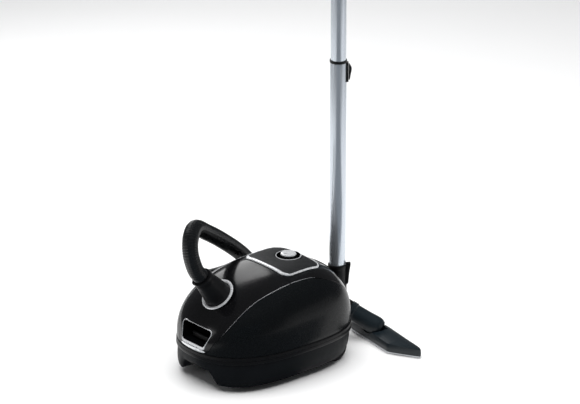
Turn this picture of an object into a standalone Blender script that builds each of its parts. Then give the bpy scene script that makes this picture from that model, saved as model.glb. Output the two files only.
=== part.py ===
"""Canister vacuum cleaner with its hose, telescopic wand and floor nozzle.

Working frame: +Z up, the machine's nose points to -Y, its left side to +X.
Dimensions are in millimetres and are turned into metres when meshes are made.
"""
import bpy
import bmesh
import math
from mathutils import Vector, Matrix

for _o in list(bpy.data.objects):
    bpy.data.objects.remove(_o, do_unlink=True)

MM = 0.001
GAP = 0.3

# place of the machine's own centre in the part's frame
SHIFT = (94.2, -51.8)

# ---- driving dimensions of the machine body
HALF_W = 145.0          # half width at the rim
HALF_L = 200.0          # half length at the rim
MID_Y = -10.0           # centre of the plan outline
RIM_Z = 85.0            # bottom edge of the upper shells
CROWN_H = 147.0         # height of the crown over the rim
CROWN_Y = 60.0          # where the crown is highest
CROWN_F = 270.0         # crown length forward
CROWN_R = 130.0         # crown length rearward
SHELL = 3.0             # shell thickness
FINENESS = 0.7          # share of the full number of facets on round pieces
PLAN_EXP = 3.0          # how square the plan is at the tail
PLAN_EXP_F = 2.4        # and at the nose
LID_END = -5.3          # rear edge of the lid
BUMPER_LO = 68.3
TUB_Z = 12.0            # underside of the base
CHIN_START = -146.0     # where the underside starts to lift towards the nose
CHIN_RISE = 29.0
CHIN_HALF = 66.0        # half width of the raised middle
SEAM = ((-210.0, 0.0), (-206.5, 0.0), (-204.2, 5.0), (-201.5, 16.0), (-198.6, 25.0), (-189.4, 35.0), (-171.8, 44.5),
        (-146.0, 52.0), (-125.0, 56.0), (-97.0, 58.5), (-72.0, 59.0), (-7.0, 59.0), (20.0, 58.3), (52.0, 56.5), (72.0, 52.5),
        (94.0, 47.5), (120.0, 43.0), (144.0, 38.5), (162.0, 30.5), (175.0, 18.0), (185.0, 6.0), (188.0, 1.0), (190.0, 0.0))

# ---- inlet and hose
INLET = Vector((0.0, -135.0, 194.0))
INLET_TILT = math.radians(40.0)
N_IN = Vector((0.0, -math.sin(INLET_TILT), math.cos(INLET_TILT)))
CUFF_LEN = 72.0
HOSE_R = 18.5

# ---- control panel
PANEL = (0.0, 49.5, 72.0, 51.5, 19.0)      # centre x, y, half width, half length, corner radius
DIAL = (0.0, 67.0)
DIAL_R = 29.0

# ---- wand
WAND = (-6.0, 216.0)
SOCKET_TOP = 173.0
LOWER_TOP = 661.0
UPPER_TOP = 922.0
R_LOW, R_LOW_IN = 18.5, 17.6
R_UP, R_UP_IN = 17.2, 16.3
ELBOW = Vector((-6.0, 216.0, 79.0))
HUMP = Vector((72.0, 264.3, 32.3))

# ---- floor nozzle
NOZ = (78.6, 269.2)
NOZ_YAW = math.radians(-8.7)
NOZ_HALF = 137.0
NOZ_REAR_HALF = 75.0
NOZ_FRONT, NOZ_REAR = 28.0, -28.0

ROOT = bpy.data.objects.new("vacuum_frame", None)
bpy.context.scene.collection.objects.link(ROOT)
ROOT.location = (SHIFT[0] * MM, SHIFT[1] * MM, 0.0)
PARTS = bpy.data.collections.new("canister_vacuum_cleaner")
CUTS = bpy.data.collections.new("cutters")
bpy.context.scene.collection.children.link(PARTS)
bpy.context.scene.collection.children.link(CUTS)

MATS = {}


def material(name, rgb, rough, metal=0.0):
    m = bpy.data.materials.new(name)
    m.use_nodes = True
    b = m.node_tree.nodes["Principled BSDF"]
    b.inputs["Base Color"].default_value = (rgb[0], rgb[1], rgb[2], 1.0)
    b.inputs["Roughness"].default_value = rough
    b.inputs["Metallic"].default_value = metal
    MATS[name] = m


material("gloss_black", (0.012, 0.012, 0.014), 0.12)
material("satin_black", (0.02, 0.021, 0.023), 0.35)
material("matte_graphite", (0.03, 0.032, 0.036), 0.55)
material("silver_trim", (0.75, 0.76, 0.78), 0.22, 1.0)
material("wand_metal", (0.62, 0.65, 0.69), 0.28, 1.0)
material("rubber_black", (0.018, 0.018, 0.019), 0.7)
material("hose_black", (0.015, 0.015, 0.016), 0.5)
material("inner_grey", (0.25, 0.26, 0.27), 0.6)
material("bag_paper", (0.72, 0.66, 0.54), 0.9)
material("filter_white", (0.85, 0.86, 0.84), 0.95)
material("steel", (0.55, 0.56, 0.58), 0.35, 1.0)
material("board_green", (0.03, 0.16, 0.08), 0.5)
material("bristle", (0.08, 0.08, 0.09), 0.9)


def adopt(obj, mat, cutter=False, parent=None):
    if cutter:
        CUTS.objects.link(obj)
        obj.hide_render = True
        obj.display_type = 'WIRE'
    else:
        PARTS.objects.link(obj)
        obj.data.materials.append(MATS[mat])
    obj.parent = parent or ROOT
    return obj


def from_bmesh(name, bm, mat=None, cutter=False, smooth=35.0, loc=None, axis=None, quat=None):
    bmesh.ops.remove_doubles(bm, verts=bm.verts, dist=1e-6)
    bmesh.ops.recalc_face_normals(bm, faces=bm.faces)
    me = bpy.data.meshes.new(name)
    bm.to_mesh(me)
    bm.free()
    me.shade_smooth()
    me.set_sharp_from_angle(angle=math.radians(smooth))
    obj = bpy.data.objects.new(name, me)
    adopt(obj, mat, cutter)
    if loc is not None:
        obj.location = Vector(loc) * MM
    if axis is not None:
        obj.rotation_mode = 'QUATERNION'
        obj.rotation_quaternion = Vector(axis).normalized().to_track_quat('Z', 'Y')
    if quat is not None:
        obj.rotation_mode = 'QUATERNION'
        obj.rotation_quaternion = quat
    return obj


def ring_solid(name, rings, mat=None, closed=False, cutter=False, smooth=35.0, loc=None):
    """A solid skinned over a run of rings with equal point counts; its ends are capped unless closed."""
    bm = bmesh.new()
    rows = [[bm.verts.new((p[0] * MM, p[1] * MM, p[2] * MM)) for p in ring] for ring in rings]
    n = len(rows[0])
    pairs = list(zip(rows, rows[1:]))
    if closed:
        pairs.append((rows[-1], rows[0]))
    for a, b in pairs:
        for i in range(n):
            j = (i + 1) % n
            bm.faces.new((a[i], a[j], b[j], b[i]))
    if not closed:
        bm.faces.new(rows[0])
        bm.faces.new(list(reversed(rows[-1])))
    return from_bmesh(name, bm, mat, cutter, smooth, loc)


def slab(name, outer, inner, nu, nv, mat):
    """A closed shell piece between two mapped grids, outer(u, v) and inner(u, v)."""
    bm = bmesh.new()
    grids = []
    for f in (outer, inner):
        grids.append([[bm.verts.new(Vector(f(i / nu, j / nv)) * MM) for j in range(nv + 1)] for i in range(nu + 1)])
    a, b = grids
    for i in range(nu):
        for j in range(nv):
            bm.faces.new((a[i][j], a[i + 1][j], a[i + 1][j + 1], a[i][j + 1]))
            bm.faces.new((b[i][j], b[i][j + 1], b[i + 1][j + 1], b[i + 1][j]))
    for i in range(nu):
        bm.faces.new((a[i][0], b[i][0], b[i + 1][0], a[i + 1][0]))
        bm.faces.new((a[i][nv], a[i + 1][nv], b[i + 1][nv], b[i][nv]))
    for j in range(nv):
        bm.faces.new((a[0][j], a[0][j + 1], b[0][j + 1], b[0][j]))
        bm.faces.new((a[nu][j], b[nu][j], b[nu][j + 1], a[nu][j + 1]))
    return from_bmesh(name, bm, mat, smooth=30.0)


def box(name, lo, hi, mat=None, cutter=False, bevel=0.0, seg=1):
    bm = bmesh.new()
    size = Vector(hi) - Vector(lo)
    mid = (Vector(hi) + Vector(lo)) / 2
    bmesh.ops.create_cube(bm, size=1.0, matrix=Matrix.Diagonal((size.x * MM, size.y * MM, size.z * MM, 1.0)))
    obj = from_bmesh(name, bm, mat, cutter, loc=mid)
    if bevel:
        m = obj.modifiers.new("edge", 'BEVEL')
        m.width = bevel * MM
        m.segments = seg
        m.limit_method = 'ANGLE'
    return obj


def turned(name, profile, mat=None, steps=32, loc=(0, 0, 0), axis=(0, 0, 1), cutter=False, loop=False, smooth=35.0):
    """A turned piece; the profile of (radius, height) pairs runs down its outer side."""
    bm = bmesh.new()
    vs = [bm.verts.new((r * MM, 0.0, z * MM)) for r, z in profile]
    for p, q in zip(vs, vs[1:]):
        bm.edges.new((p, q))
    if loop:
        bm.edges.new((vs[-1], vs[0]))
    me = bpy.data.meshes.new(name)
    bm.to_mesh(me)
    bm.free()
    obj = bpy.data.objects.new(name, me)
    adopt(obj, mat, cutter)
    steps = max(8, round(steps * FINENESS))
    s = obj.modifiers.new("turn", 'SCREW')
    s.axis = 'Z'
    s.angle = 2 * math.pi
    s.steps = steps
    s.render_steps = steps
    s.use_merge_vertices = True
    s.merge_threshold = 0.00001
    s.use_smooth_shade = True
    obj.location = Vector(loc) * MM
    obj.rotation_mode = 'QUATERNION'
    obj.rotation_quaternion = Vector(axis).normalized().to_track_quat('Z', 'Y')
    return obj


def rod(name, p0, p1, r, mat=None, steps=16, cutter=False):
    p0, p1 = Vector(p0), Vector(p1)
    length = (p1 - p0).length
    return turned(name, ((0, length), (r, length), (r, 0), (0, 0)), mat, steps, p0, p1 - p0, cutter)


def pipe(name, p0, p1, r_out, r_in, mat=None, steps=28):
    p0, p1 = Vector(p0), Vector(p1)
    length = (p1 - p0).length
    return turned(name, ((r_out, length), (r_out, 0), (r_in, 0), (r_in, length)), mat, steps, p0, p1 - p0, loop=True)


def cut(obj, *cutters, op='DIFFERENCE'):
    for c in cutters:
        m = obj.modifiers.new(c.name, 'BOOLEAN')
        m.operation = op
        m.solver = 'EXACT'
        m.object = c
    return obj


def smooth_path(keys, step):
    """Points along a centripetal spline through the keys, about one step apart."""
    pts = [Vector(k) for k in keys]
    pts = [pts[0] * 2 - pts[1]] + pts + [pts[-1] * 2 - pts[-2]]
    dense = []
    for i in range(1, len(pts) - 2):
        p0, p1, p2, p3 = pts[i - 1:i + 3]
        t0 = 0.0
        t1 = t0 + (p1 - p0).length ** 0.5
        t2 = t1 + (p2 - p1).length ** 0.5
        t3 = t2 + (p3 - p2).length ** 0.5
        for k in range(40):
            t = t1 + (t2 - t1) * k / 40.0
            a1 = p0 * ((t1 - t) / (t1 - t0)) + p1 * ((t - t0) / (t1 - t0))
            a2 = p1 * ((t2 - t) / (t2 - t1)) + p2 * ((t - t1) / (t2 - t1))
            a3 = p2 * ((t3 - t) / (t3 - t2)) + p3 * ((t - t2) / (t3 - t2))
            b1 = a1 * ((t2 - t) / (t2 - t0)) + a2 * ((t - t0) / (t2 - t0))
            b2 = a2 * ((t3 - t) / (t3 - t1)) + a3 * ((t - t1) / (t3 - t1))
            dense.append(b1 * ((t2 - t) / (t2 - t1)) + b2 * ((t - t1) / (t2 - t1)))
    dense.append(pts[-2].copy())
    run = [0.0]
    for p, q in zip(dense, dense[1:]):
        run.append(run[-1] + (q - p).length)
    n = max(2, round(run[-1] / step))
    out, k = [], 0
    for i in range(n + 1):
        s = run[-1] * i / n
        while k < len(run) - 2 and run[k + 1] < s:
            k += 1
        f = (s - run[k]) / max(1e-9, run[k + 1] - run[k])
        out.append(dense[k].lerp(dense[k + 1], min(1.0, max(0.0, f))))
    return out, run[-1]


def tube_curve(name, pts, r, mat, res=3):
    cu = bpy.data.curves.new(name, 'CURVE')
    cu.dimensions = '3D'
    sp = cu.splines.new('POLY')
    sp.points.add(len(pts) - 1)
    for i, p in enumerate(pts):
        sp.points[i].co = (p[0] * MM, p[1] * MM, p[2] * MM, 1.0)
    cu.bevel_depth = r * MM
    cu.bevel_resolution = res
    cu.use_fill_caps = True
    obj = bpy.data.objects.new(name, cu)
    return adopt(obj, mat)


def as_mesh(obj):
    """The curve's evaluated shape as a welded mesh object of the same name and place."""
    bpy.context.view_layer.update()
    dg = bpy.context.evaluated_depsgraph_get()
    me = bpy.data.meshes.new_from_object(obj.evaluated_get(dg))
    bm = bmesh.new()
    bm.from_mesh(me)
    bmesh.ops.remove_doubles(bm, verts=bm.verts, dist=1e-5)
    bmesh.ops.recalc_face_normals(bm, faces=bm.faces)
    bm.to_mesh(me)
    bm.free()
    name, world, parent = obj.name, obj.matrix_world.copy(), obj.parent
    bpy.data.objects.remove(obj, do_unlink=True)
    new = bpy.data.objects.new(name, me)
    PARTS.objects.link(new)
    new.parent = parent
    new.matrix_world = world
    return new


# ------------------------------------------------------------------ body form
def table(keys, x):
    if x <= keys[0][0]:
        return keys[0][1]
    for (a, p), (b, q) in zip(keys, keys[1:]):
        if x <= b:
            return p + (q - p) * (x - a) / (b - a)
    return keys[-1][1]


def crown(w):
    y = MID_Y + HALF_L * w
    u = (y - CROWN_Y) / (CROWN_F if y < CROWN_Y else CROWN_R)
    return max(0.0, 1.0 - min(1.0, abs(u)) ** 2.2) ** 0.5


def width(w):
    e = PLAN_EXP if w > 0 else PLAN_EXP_F
    return max(0.0, 1.0 - abs(w) ** e) ** (1.0 / e)


def dome(w, deg, t=0.0):
    """Point of the upper body: w runs nose (-1) to tail (+1), deg from the left rim (0) over the top to the right rim (180)."""
    a = math.radians(deg)
    c, s = math.cos(a), math.sin(a)
    c = math.copysign(abs(c) ** (2.0 / 3.0), c)
    s = abs(s) ** (2.0 / 3.0)
    return ((HALF_W - t) * width(w) * c, MID_Y + (HALF_L - t) * w, RIM_Z + (CROWN_H - t) * crown(w) * s)


def dome_z(x, y):
    w = (y - MID_Y) / HALF_L
    a = HALF_W * width(w)
    if a <= abs(x):
        return RIM_Z
    c = (abs(x) / a) ** 1.5
    return RIM_Z + CROWN_H * crown(w) * (1.0 - c * c) ** (1.0 / 3.0)


def front_y(x, z):
    """Where the nose's surface stands for a given x and height."""
    lo, hi = -1.0, -0.45
    for _ in range(48):
        m = (lo + hi) / 2
        if dome_z(x, MID_Y + HALF_L * m) < z:
            lo = m
        else:
            hi = m
    return MID_Y + HALF_L * hi


def seam(w):
    return table(SEAM, MID_Y + HALF_L * w)


def ease(a, b, f):
    """Stations crowded towards the end a or b where the form turns quickest."""
    return a + (b - a) * f


def nose_w(f, w_end):
    """Stations from the nose to w_end, crowded at the nose."""
    return -1.0 + (w_end + 1.0) * f ** 1.9


def tail_w(f, w_start):
    return 1.0 - (1.0 - w_start) * (1.0 - f) ** 1.9


W_LID = (LID_END - MID_Y) / HALF_L
W_COVER = (LID_END + GAP - MID_Y) / HALF_L
LIFT = 0.35     # degrees of seam clearance either side


def lid_map(t):
    def f(u, v):
        w = nose_w(u, W_LID)
        s = seam(w)
        s = s + (LIFT if s > 2 else 0.0)
        return dome(w, s + (180.0 - 2 * s) * v, t)
    return f


def cover_map(t):
    def f(u, v):
        w = tail_w(u, W_COVER)
        s = seam(w)
        s = s + (LIFT if s > 2 else 0.0)
        return dome(w, s + (180.0 - 2 * s) * v, t)
    return f


def side_map(t, sign):
    def f(u, v):
        k = 0.5 - 0.5 * math.cos(math.pi * u)
        w = -0.978 + (0.975 + 0.978) * k
        s = seam(w) - LIFT
        d = s * v
        return dome(w, d if sign > 0 else 180.0 - d, t)
    return f


def superplan(a, b, n, z, cx=0.0, cy=MID_Y, nose=PLAN_EXP_F):
    out = []
    for i in range(n):
        p = 2 * math.pi * i / n
        c, s = math.cos(p), math.sin(p)
        exp = PLAN_EXP if s > 0 else nose
        out.append((cx + a * math.copysign(abs(c) ** (2.0 / exp), c), cy + b * math.copysign(abs(s) ** (2.0 / exp), s), z))
    return out


def rounded_rect(cx, cy, hw, hl, r, n=10, along=8):
    """A rounded rectangle's points, with each straight side divided so that it can follow a crowned surface."""
    out = []
    for qx, qy, a0 in ((1, 1, 0), (-1, 1, 90), (-1, -1, 180), (1, -1, 270)):
        for k in range(n):
            a = math.radians(a0 + 90.0 * k / (n - 1))
            out.append((cx + qx * (hw - r) + r * math.cos(a), cy + qy * (hl - r) + r * math.sin(a)))
        p = Vector(out[-1])
        if a0 in (0, 180):
            q = p + Vector((-2.0 * (hw - r) * qx, 0.0))
        else:
            q = p + Vector((0.0, -2.0 * (hl - r) * qy))
        for k in range(1, along):
            m = p.lerp(q, k / along)
            out.append((m.x, m.y))
    return out


def window_outline(inset, n=7):
    """Front grip opening seen from the front, as (x, z)."""
    zb, zt = 93.0 + inset * 2.0, 139.0 - inset
    hb, ht = 40.0 - inset, 50.0 - inset
    r = max(3.0, 9.0 - inset)
    out = []
    for qx, zc, hw, a0 in ((1, zt - r, ht, 0), (-1, zt - r, ht, 90), (-1, zb + r, hb, 180), (1, zb + r, hb, 270)):
        for k in range(n):
            a = math.radians(a0 + 90.0 * k / (n - 1))
            out.append((qx * (hw - r) + r * math.cos(a), zc + r * math.sin(a)))
    return out


# ------------------------------------------------------------------ upper shells
lid = slab("front_lid", lid_map(0.0), lid_map(SHELL), 20, 12, "gloss_black")
cover = slab("rear_cover", cover_map(0.0), cover_map(SHELL), 13, 12, "gloss_black")
for nm, sg in (("side_panel_left", 1), ("side_panel_right", -1)):
    slab(nm, side_map(0.0, sg), side_map(SHELL, sg), 28, 4, "satin_black")

win_cut = ring_solid("window_cutter", [[(x, y, z) for x, z in window_outline(-GAP)] for y in (-230.0, -172.0)], cutter=True)
inlet_cut = rod("inlet_cutter", INLET - N_IN * 45, INLET + N_IN * 45, 39.0 + GAP, steps=36, cutter=True)
cut(lid, win_cut, inlet_cut)

dial_cut = rod("dial_cutter", (DIAL[0], DIAL[1], 190), (DIAL[0], DIAL[1], 250), DIAL_R + GAP, steps=36, cutter=True)
grille_cut = box("grille_cutter", (-46, 118, 150), (46, 158, 250), cutter=True)
bracket_cut = box("bracket_cutter", (-17.4, 160.0, 121.6), (17.4, 200.0, 150.4), cutter=True)
cut(cover, dial_cut, grille_cut, bracket_cut)

# ------------------------------------------------------------------ rim bumper and base
ring_solid("bumper_strip", [superplan(HALF_W + 1.0, HALF_L + 1.0, 48, BUMPER_LO), superplan(HALF_W + 1.5, HALF_L + 1.5, 48, 76.0),
                            superplan(HALF_W + 0.3, HALF_L + 0.3, 48, RIM_Z - GAP),
                            superplan(HALF_W - 6.0, HALF_L - 6.0, 48, RIM_Z - GAP), superplan(HALF_W - 6.0, HALF_L - 6.0, 48, BUMPER_LO)],
           "satin_black", closed=True)


def chin(x, y):
    """How far the underside lifts under the middle of the nose."""
    k = min(1.0, max(0.0, (CHIN_START - y) / 34.0))
    m = min(1.0, max(0.0, (CHIN_HALF - abs(x)) / 26.0))
    return CHIN_RISE * k * k * (3 - 2 * k) * m * m * (3 - 2 * m)


def tub_ring(depth, t):
    """Ring of the base tub; depth runs from 0 at the rim to 1 at the flat underside."""
    a = depth * math.pi / 2
    inset = 15.0 * (1.0 - math.cos(a) ** 0.75) + 3.0 * depth
    drop = math.sin(a) ** 0.85
    out = []
    for x, y, _ in superplan(HALF_W - 2.5 - inset - t, HALF_L - 2.5 - inset - t, 56, 0.0, nose=PLAN_EXP_F + 0.7 * depth):
        low = TUB_Z + t + chin(x, y)
        z = BUMPER_LO - GAP - (BUMPER_LO - GAP - low) * drop
        out.append((x, y, z))
    return out


def tub_floor(f, t):
    out = []
    for x, y, z in tub_ring(1.0, t):
        yy = MID_Y + (y - MID_Y) * f
        out.append((x * f, yy, TUB_Z + t + chin(x * f, yy)))
    return out


tub = ring_solid("base_tub", [tub_floor(0.45, 0.0), tub_floor(0.8, 0.0)] + [tub_ring(d, 0.0) for d in (1.0, 0.85, 0.65, 0.4, 0.0)]
                 + [tub_ring(d, SHELL) for d in (0.0, 0.4, 0.65, 0.85, 1.0)] + [tub_floor(0.8, SHELL), tub_floor(0.45, SHELL)], "matte_graphite")
wells = [box("wheel_well_%s" % s, (x - 13, 84, -5), (x + 13, 152, 45), cutter=True) for s, x in (("l", 98), ("r", -98))]
castor_cut = rod("castor_well", (0, -115, -5), (0, -115, 40), 27.0, steps=24, cutter=True)
cable_cut = rod("cable_hole", (-60, 150, 42), (-60, 210, 42), 9.0 + GAP, steps=16, cutter=True)
cut(tub, wells[0], wells[1], castor_cut, cable_cut)

# ------------------------------------------------------------------ grip window
def win_ring(inset, dy):
    return [(x, front_y(x, z) + dy, z) for x, z in window_outline(inset)]


ring_solid("window_frame", [win_ring(0.0, -1.0), win_ring(3.0, -1.0), win_ring(3.0, 3.2), win_ring(0.0, 3.2)], "silver_trim", closed=True)
cup_in, cup_out = window_outline(3.2), window_outline(1.4)
ring_solid("grip_recess", [[(x, -164.0, z) for x, z in cup_out], [(x, front_y(x, z) + 3.6, z) for x, z in cup_out],
                           [(x, front_y(x, z) + 3.6, z) for x, z in cup_in], [(x, -166.0, z) for x, z in cup_in]], "satin_black")
box("lid_latch", (-27, -186, 103), (27, -180, 114), "satin_black", bevel=1.2)

# ------------------------------------------------------------------ inlet
turned("inlet_port", ((39.0, 3.0), (39.0, -16.0), (24.0, -16.0), (24.0, -34.0), (20.5, -34.0), (20.5, -4.0), (31.5, -4.0), (31.5, 3.0)),
       "silver_trim", 36, INLET, N_IN, loop=True)
cuff = turned("hose_cuff", ((23.0, CUFF_LEN), (23.4, CUFF_LEN - 12), (26.5, 34.0), (30.4, 6.0), (31.0, -3.6), (20.0, -3.6), (20.0, -28.0), (17.0, -28.0), (17.0, CUFF_LEN)),
       "satin_black", 36, INLET, N_IN, loop=True)
side = Vector((-0.643, -0.766, 0.0))
side = (side - N_IN * side.dot(N_IN)).normalized()
btn_at = INLET + N_IN * (CUFF_LEN - 10) + side * 23.2
cut(cuff, rod("button_pocket", btn_at - side * 3.1, btn_at + side * 8, 5.9, steps=16, cutter=True))
turned("cuff_button", ((0.0, 4.6), (4.0, 4.2), (5.5, 2.8), (5.5, 0.0), (0.0, 0.0)), "rubber_black", 12, btn_at, side)
turned("bag_holder", ((46.0, -37.0), (46.0, -41.0), (19.0, -41.0), (19.0, -37.0)), "inner_grey", 24, INLET, N_IN, loop=True)

# ------------------------------------------------------------------ hose
HOSE_KEYS = (INLET + N_IN * (CUFF_LEN + 0.5), INLET + N_IN * (CUFF_LEN + 22), (-3.0, -208.0, 308.0), (-14.0, -200.0, 336.0), (-42.0, -166.0, 346.0),
             (-88.0, -94.0, 304.0), (-128.0, -14.0, 249.0), (-162.0, 62.0, 190.0), (-188.0, 135.0, 118.0), (-201.0, 200.0, 56.0),
             (-204.0, 262.0, 22.0), (-199.0, 302.7, 18.9), (-203.4, 345.6, 18.9), (-230.7, 381.6, 18.9), (-276.9, 398.1, 18.9), (-331.9, 394.7, 18.9), (-381.6, 369.8, 18.9), (-408.9, 324.8, 18.9), (-415.2, 275.3, 18.9), (-412.5, 228.7, 18.9), (-411.1, 196.1, 19.6), (-409.9, 174.2, 21.3), (-403.7, 159.9, 23.2), (-391.3, 148.2, 23.6))
hose_pts, hose_len = smooth_path(HOSE_KEYS[1:-1], 34.0)
hose_pts = [HOSE_KEYS[0], HOSE_KEYS[0] + N_IN * 8] + hose_pts + [Vector(HOSE_KEYS[-1]) - Vector((0.766, -0.643, 0.0)) * 8, Vector(HOSE_KEYS[-1])]
tube_curve("suction_hose", hose_pts, HOSE_R, "hose_black", 2)
HDIR = Vector((0.766, -0.643, 0.0))
H0 = Vector(HOSE_KEYS[-1]) + HDIR * 0.5
turned("handle_cuff", ((20.5, 62.0), (22.5, 50.0), (23.2, 0.0), (17.0, 0.0), (17.0, 62.0)), "satin_black", 28, H0, HDIR, loop=True)
H1 = H0 + HDIR * (62.0 + GAP)
up = Vector((0, 0, 1))
grip_keys = (H1, H1 + HDIR * 26 + up * 0.6, H1 + HDIR * 63 + up * 8, H1 + HDIR * 103 + up * 14, H1 + HDIR * 142 + up * 12.5, H1 + HDIR * 176 + up * 7)
grip_pts, _ = smooth_path(grip_keys, 16.0)
tube_curve("hose_handle", grip_pts, 17.5, "satin_black", 3)
end_dir = (Vector(grip_pts[-1]) - Vector(grip_pts[-2])).normalized()
H2 = Vector(grip_pts[-1]) + end_dir * GAP
pipe("handle_spigot", H2, H2 + end_dir * 46.0, 17.0, 15.4, "satin_black", 24)
mid = H1 + HDIR * 108 + up * (14.1 + 17.5 + 3.4)
sl = box("suction_slider", (mid.x - 5, mid.y - 11, mid.z - 1.4), (mid.x + 5, mid.y + 11, mid.z + 2.6), "silver_trim", bevel=1.0)
sl.rotation_euler = (0.0, 0.0, math.atan2(HDIR.y, HDIR.x) - math.pi / 2)

# ------------------------------------------------------------------ control panel and dial
px, py, phw, phl, pr = PANEL


def panel_ring(grow, dz):
    return [(x, y, dome_z(x, y) + dz) for x, y in rounded_rect(px, py, phw + grow, phl + grow, pr + grow, 6, 7)]


def panel_reach(c, q):
    """Distance from the dial's centre to the panel's rounded outline along a direction."""
    lo, hi = 0.0, 160.0
    for _ in range(40):
        m = (lo + hi) / 2
        dx = abs(DIAL[0] + c * m - px) - (phw - pr)
        dy = abs(DIAL[1] + q * m - py) - (phl - pr)
        inside = math.hypot(max(dx, 0.0), max(dy, 0.0)) + min(max(dx, dy), 0.0) < pr
        lo, hi = (m, hi) if inside else (lo, m)
    return lo


def blend_ring(f, dz):
    out = []
    for k in range(52):
        a = 2 * math.pi * (k + 0.5) / 52
        c, q = math.cos(a), math.sin(a)
        r0 = DIAL_R + GAP + 0.15
        m = r0 + (panel_reach(c, q) - r0) * f
        x, y = DIAL[0] + c * m, DIAL[1] + q * m
        out.append((x, y, dome_z(x, y) + dz))
    return out


ring_solid("control_panel", [blend_ring(0.0, 2.6), blend_ring(0.5, 2.6), blend_ring(1.0, 2.6), blend_ring(1.0, 0.9), blend_ring(0.5, 0.9), blend_ring(0.0, 0.9)],
           "satin_black", closed=True)
ring_solid("panel_trim", [panel_ring(GAP, 3.0), panel_ring(2.7, 2.6), panel_ring(2.7, 0.9), panel_ring(GAP, 0.9)], "silver_trim", closed=True)
turned("dial_bezel", ((DIAL_R, 234.8), (DIAL_R, 213.0), (8.0, 213.0), (8.0, 216.0), (26.0, 216.0), (27.0, 235.2), (28.4, 235.2)),
       "satin_black", 36, (DIAL[0], DIAL[1], 0), loop=True)
turned("dial_carrier", ((0, 226.0), (5.0, 226.0), (5.0, 205.5), (0, 205.5)), "inner_grey", 16, (DIAL[0], DIAL[1], 0))
turned("power_dial", ((0, 241.5), (16.0, 240.9), (18.0, 238.5), (18.0, 220.0), (5.3, 220.0), (5.3, 226.3), (0, 226.3)), "silver_trim", 28, (DIAL[0], DIAL[1], 0))
box("control_board", (-42, 22, 200), (42, 108, 201.6), "board_green")

# ------------------------------------------------------------------ exhaust
def grille_map(dz):
    def f(u, v):
        x, y = (46 - GAP) * (2 * v - 1), 138 + (20 - GAP) * (1 - 2 * u)
        return (x, y, dome_z(x, y) + dz)
    return f


grille = slab("exhaust_grille", grille_map(-0.2), grille_map(-2.8), 3, 4, "satin_black")
for k in range(7):
    x = -36.0 + 12.0 * k
    cut(grille, box("grille_slot_%d" % k, (x - 2.5, 123, 150), (x + 2.5, 153, 250), cutter=True))
box("exhaust_filter", (-40, 120, 148), (40, 150, 168), "filter_white", bevel=2.0)

# ------------------------------------------------------------------ inside the base
bulk = box("motor_bulkhead", (-98, 8, 16), (98, 12, 198), "inner_grey")
cut(bulk, rod("bulkhead_hole", (-40, -5, 92), (-40, 30, 92), 28.0, steps=20, cutter=True))
box("motor_filter", (-82, 1, 58), (2, 7.6, 128), "filter_white", bevel=1.5)
turned("motor_housing", ((50.0, 118.0), (50.0, 0.4), (46.5, 0.4), (46.5, 114.0), (8.0, 114.0), (8.0, 118.0)), "inner_grey", 28, (-40, 12, 92), (0, 1, 0), loop=True)
turned("motor_can", ((3.8, 104.0), (38.0, 104.0), (38.0, 34.0), (3.8, 34.0)), "steel", 24, (-40, 12, 92), (0, 1, 0), loop=True)
turned("fan_impeller", ((0, 112.0), (3.0, 112.0), (3.0, 28.0), (42.0, 26.0), (42.0, 12.0), (12.0, 6.0), (0, 6.0)), "inner_grey", 20, (-40, 12, 92), (0, 1, 0))
rod("drum_spindle", (55, 90, 15.4), (55, 90, 118), 4.0, "steel", 12)
turned("cord_drum", ((39.0, 108.0), (39.0, 105.0), (18.0, 105.0), (18.0, 71.0), (39.0, 71.0), (39.0, 68.0), (4.4, 68.0), (4.4, 108.0)), "inner_grey", 24, (55, 90, 0), loop=True)
bm = bmesh.new()
bmesh.ops.create_cube(bm, size=1.0, matrix=Matrix.Diagonal((0.19, 0.14, 0.085, 1.0)))
bag = from_bmesh("dust_bag", bm, "bag_paper", loc=(0, -84, 98))
sub = bag.modifiers.new("soft", 'SUBSURF')
sub.levels = sub.render_levels = 2
turned("cable_outlet", ((5.0, 190.0), (11.0, 190.0), (13.0, 188.6), (13.0, 186.4), (9.0, 186.4), (9.0, 168.0), (5.0, 168.0)), "rubber_black", 16, (-60, 0, 42), (0, 1, 0), loop=True)

# ------------------------------------------------------------------ wheels
rod("rear_axle", (-112, 118, 30), (112, 118, 30), 4.0, "steel", 12)
box("axle_cradle", (-76, 108, 15.4), (76, 128, 25.6), "matte_graphite", bevel=1.0)
for nm, x in (("rear_wheel_left", 98), ("rear_wheel_right", -98)):
    turned(nm, ((28.0, 10.0), (30.0, 8.0), (30.0, -8.0), (28.0, -10.0), (4.4, -10.0), (4.4, 10.0)), "rubber_black", 28, (x, 118, 30), (1, 0, 0), loop=True)
turned("castor_socket", ((26.7, 39.0), (26.7, 12.5), (24.5, 12.5), (24.5, 36.5), (4.4, 36.5), (4.4, 39.0)), "matte_graphite", 24, (0, -115, 0), loop=True)
fork = turned("castor_fork", ((0, 45.0), (4.0, 45.0), (4.0, 36.2), (20.0, 36.2), (20.0, 32.0), (0, 32.0)), "satin_black", 20, (0, -115, 0))
cheeks = []
for k, x in enumerate((-10.2, 7.6)):
    cheeks.append(box("castor_cheek_%d" % k, (x, -119, 8), (x + 2.6, -101, 33), cutter=True))
cut(fork, *cheeks, op='UNION')
rod("castor_axle", (-7.3, -109, 14), (7.3, -109, 14), 2.0, "steel", 10)
turned("castor_wheel", ((12.5, 6.5), (14.0, 5.0), (14.0, -5.0), (12.5, -6.5), (2.3, -6.5), (2.3, 6.5)), "rubber_black", 20, (0, -109, 14), (1, 0, 0), loop=True)
for k, (x, y) in enumerate(((58, 20), (-58, 20))):
    turned("base_screw_%d" % (k + 1), ((0, 11.7), (4.5, 11.7), (3.6, 9.6), (0, 9.6)), "steel", 10, (x, y, 0))

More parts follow.
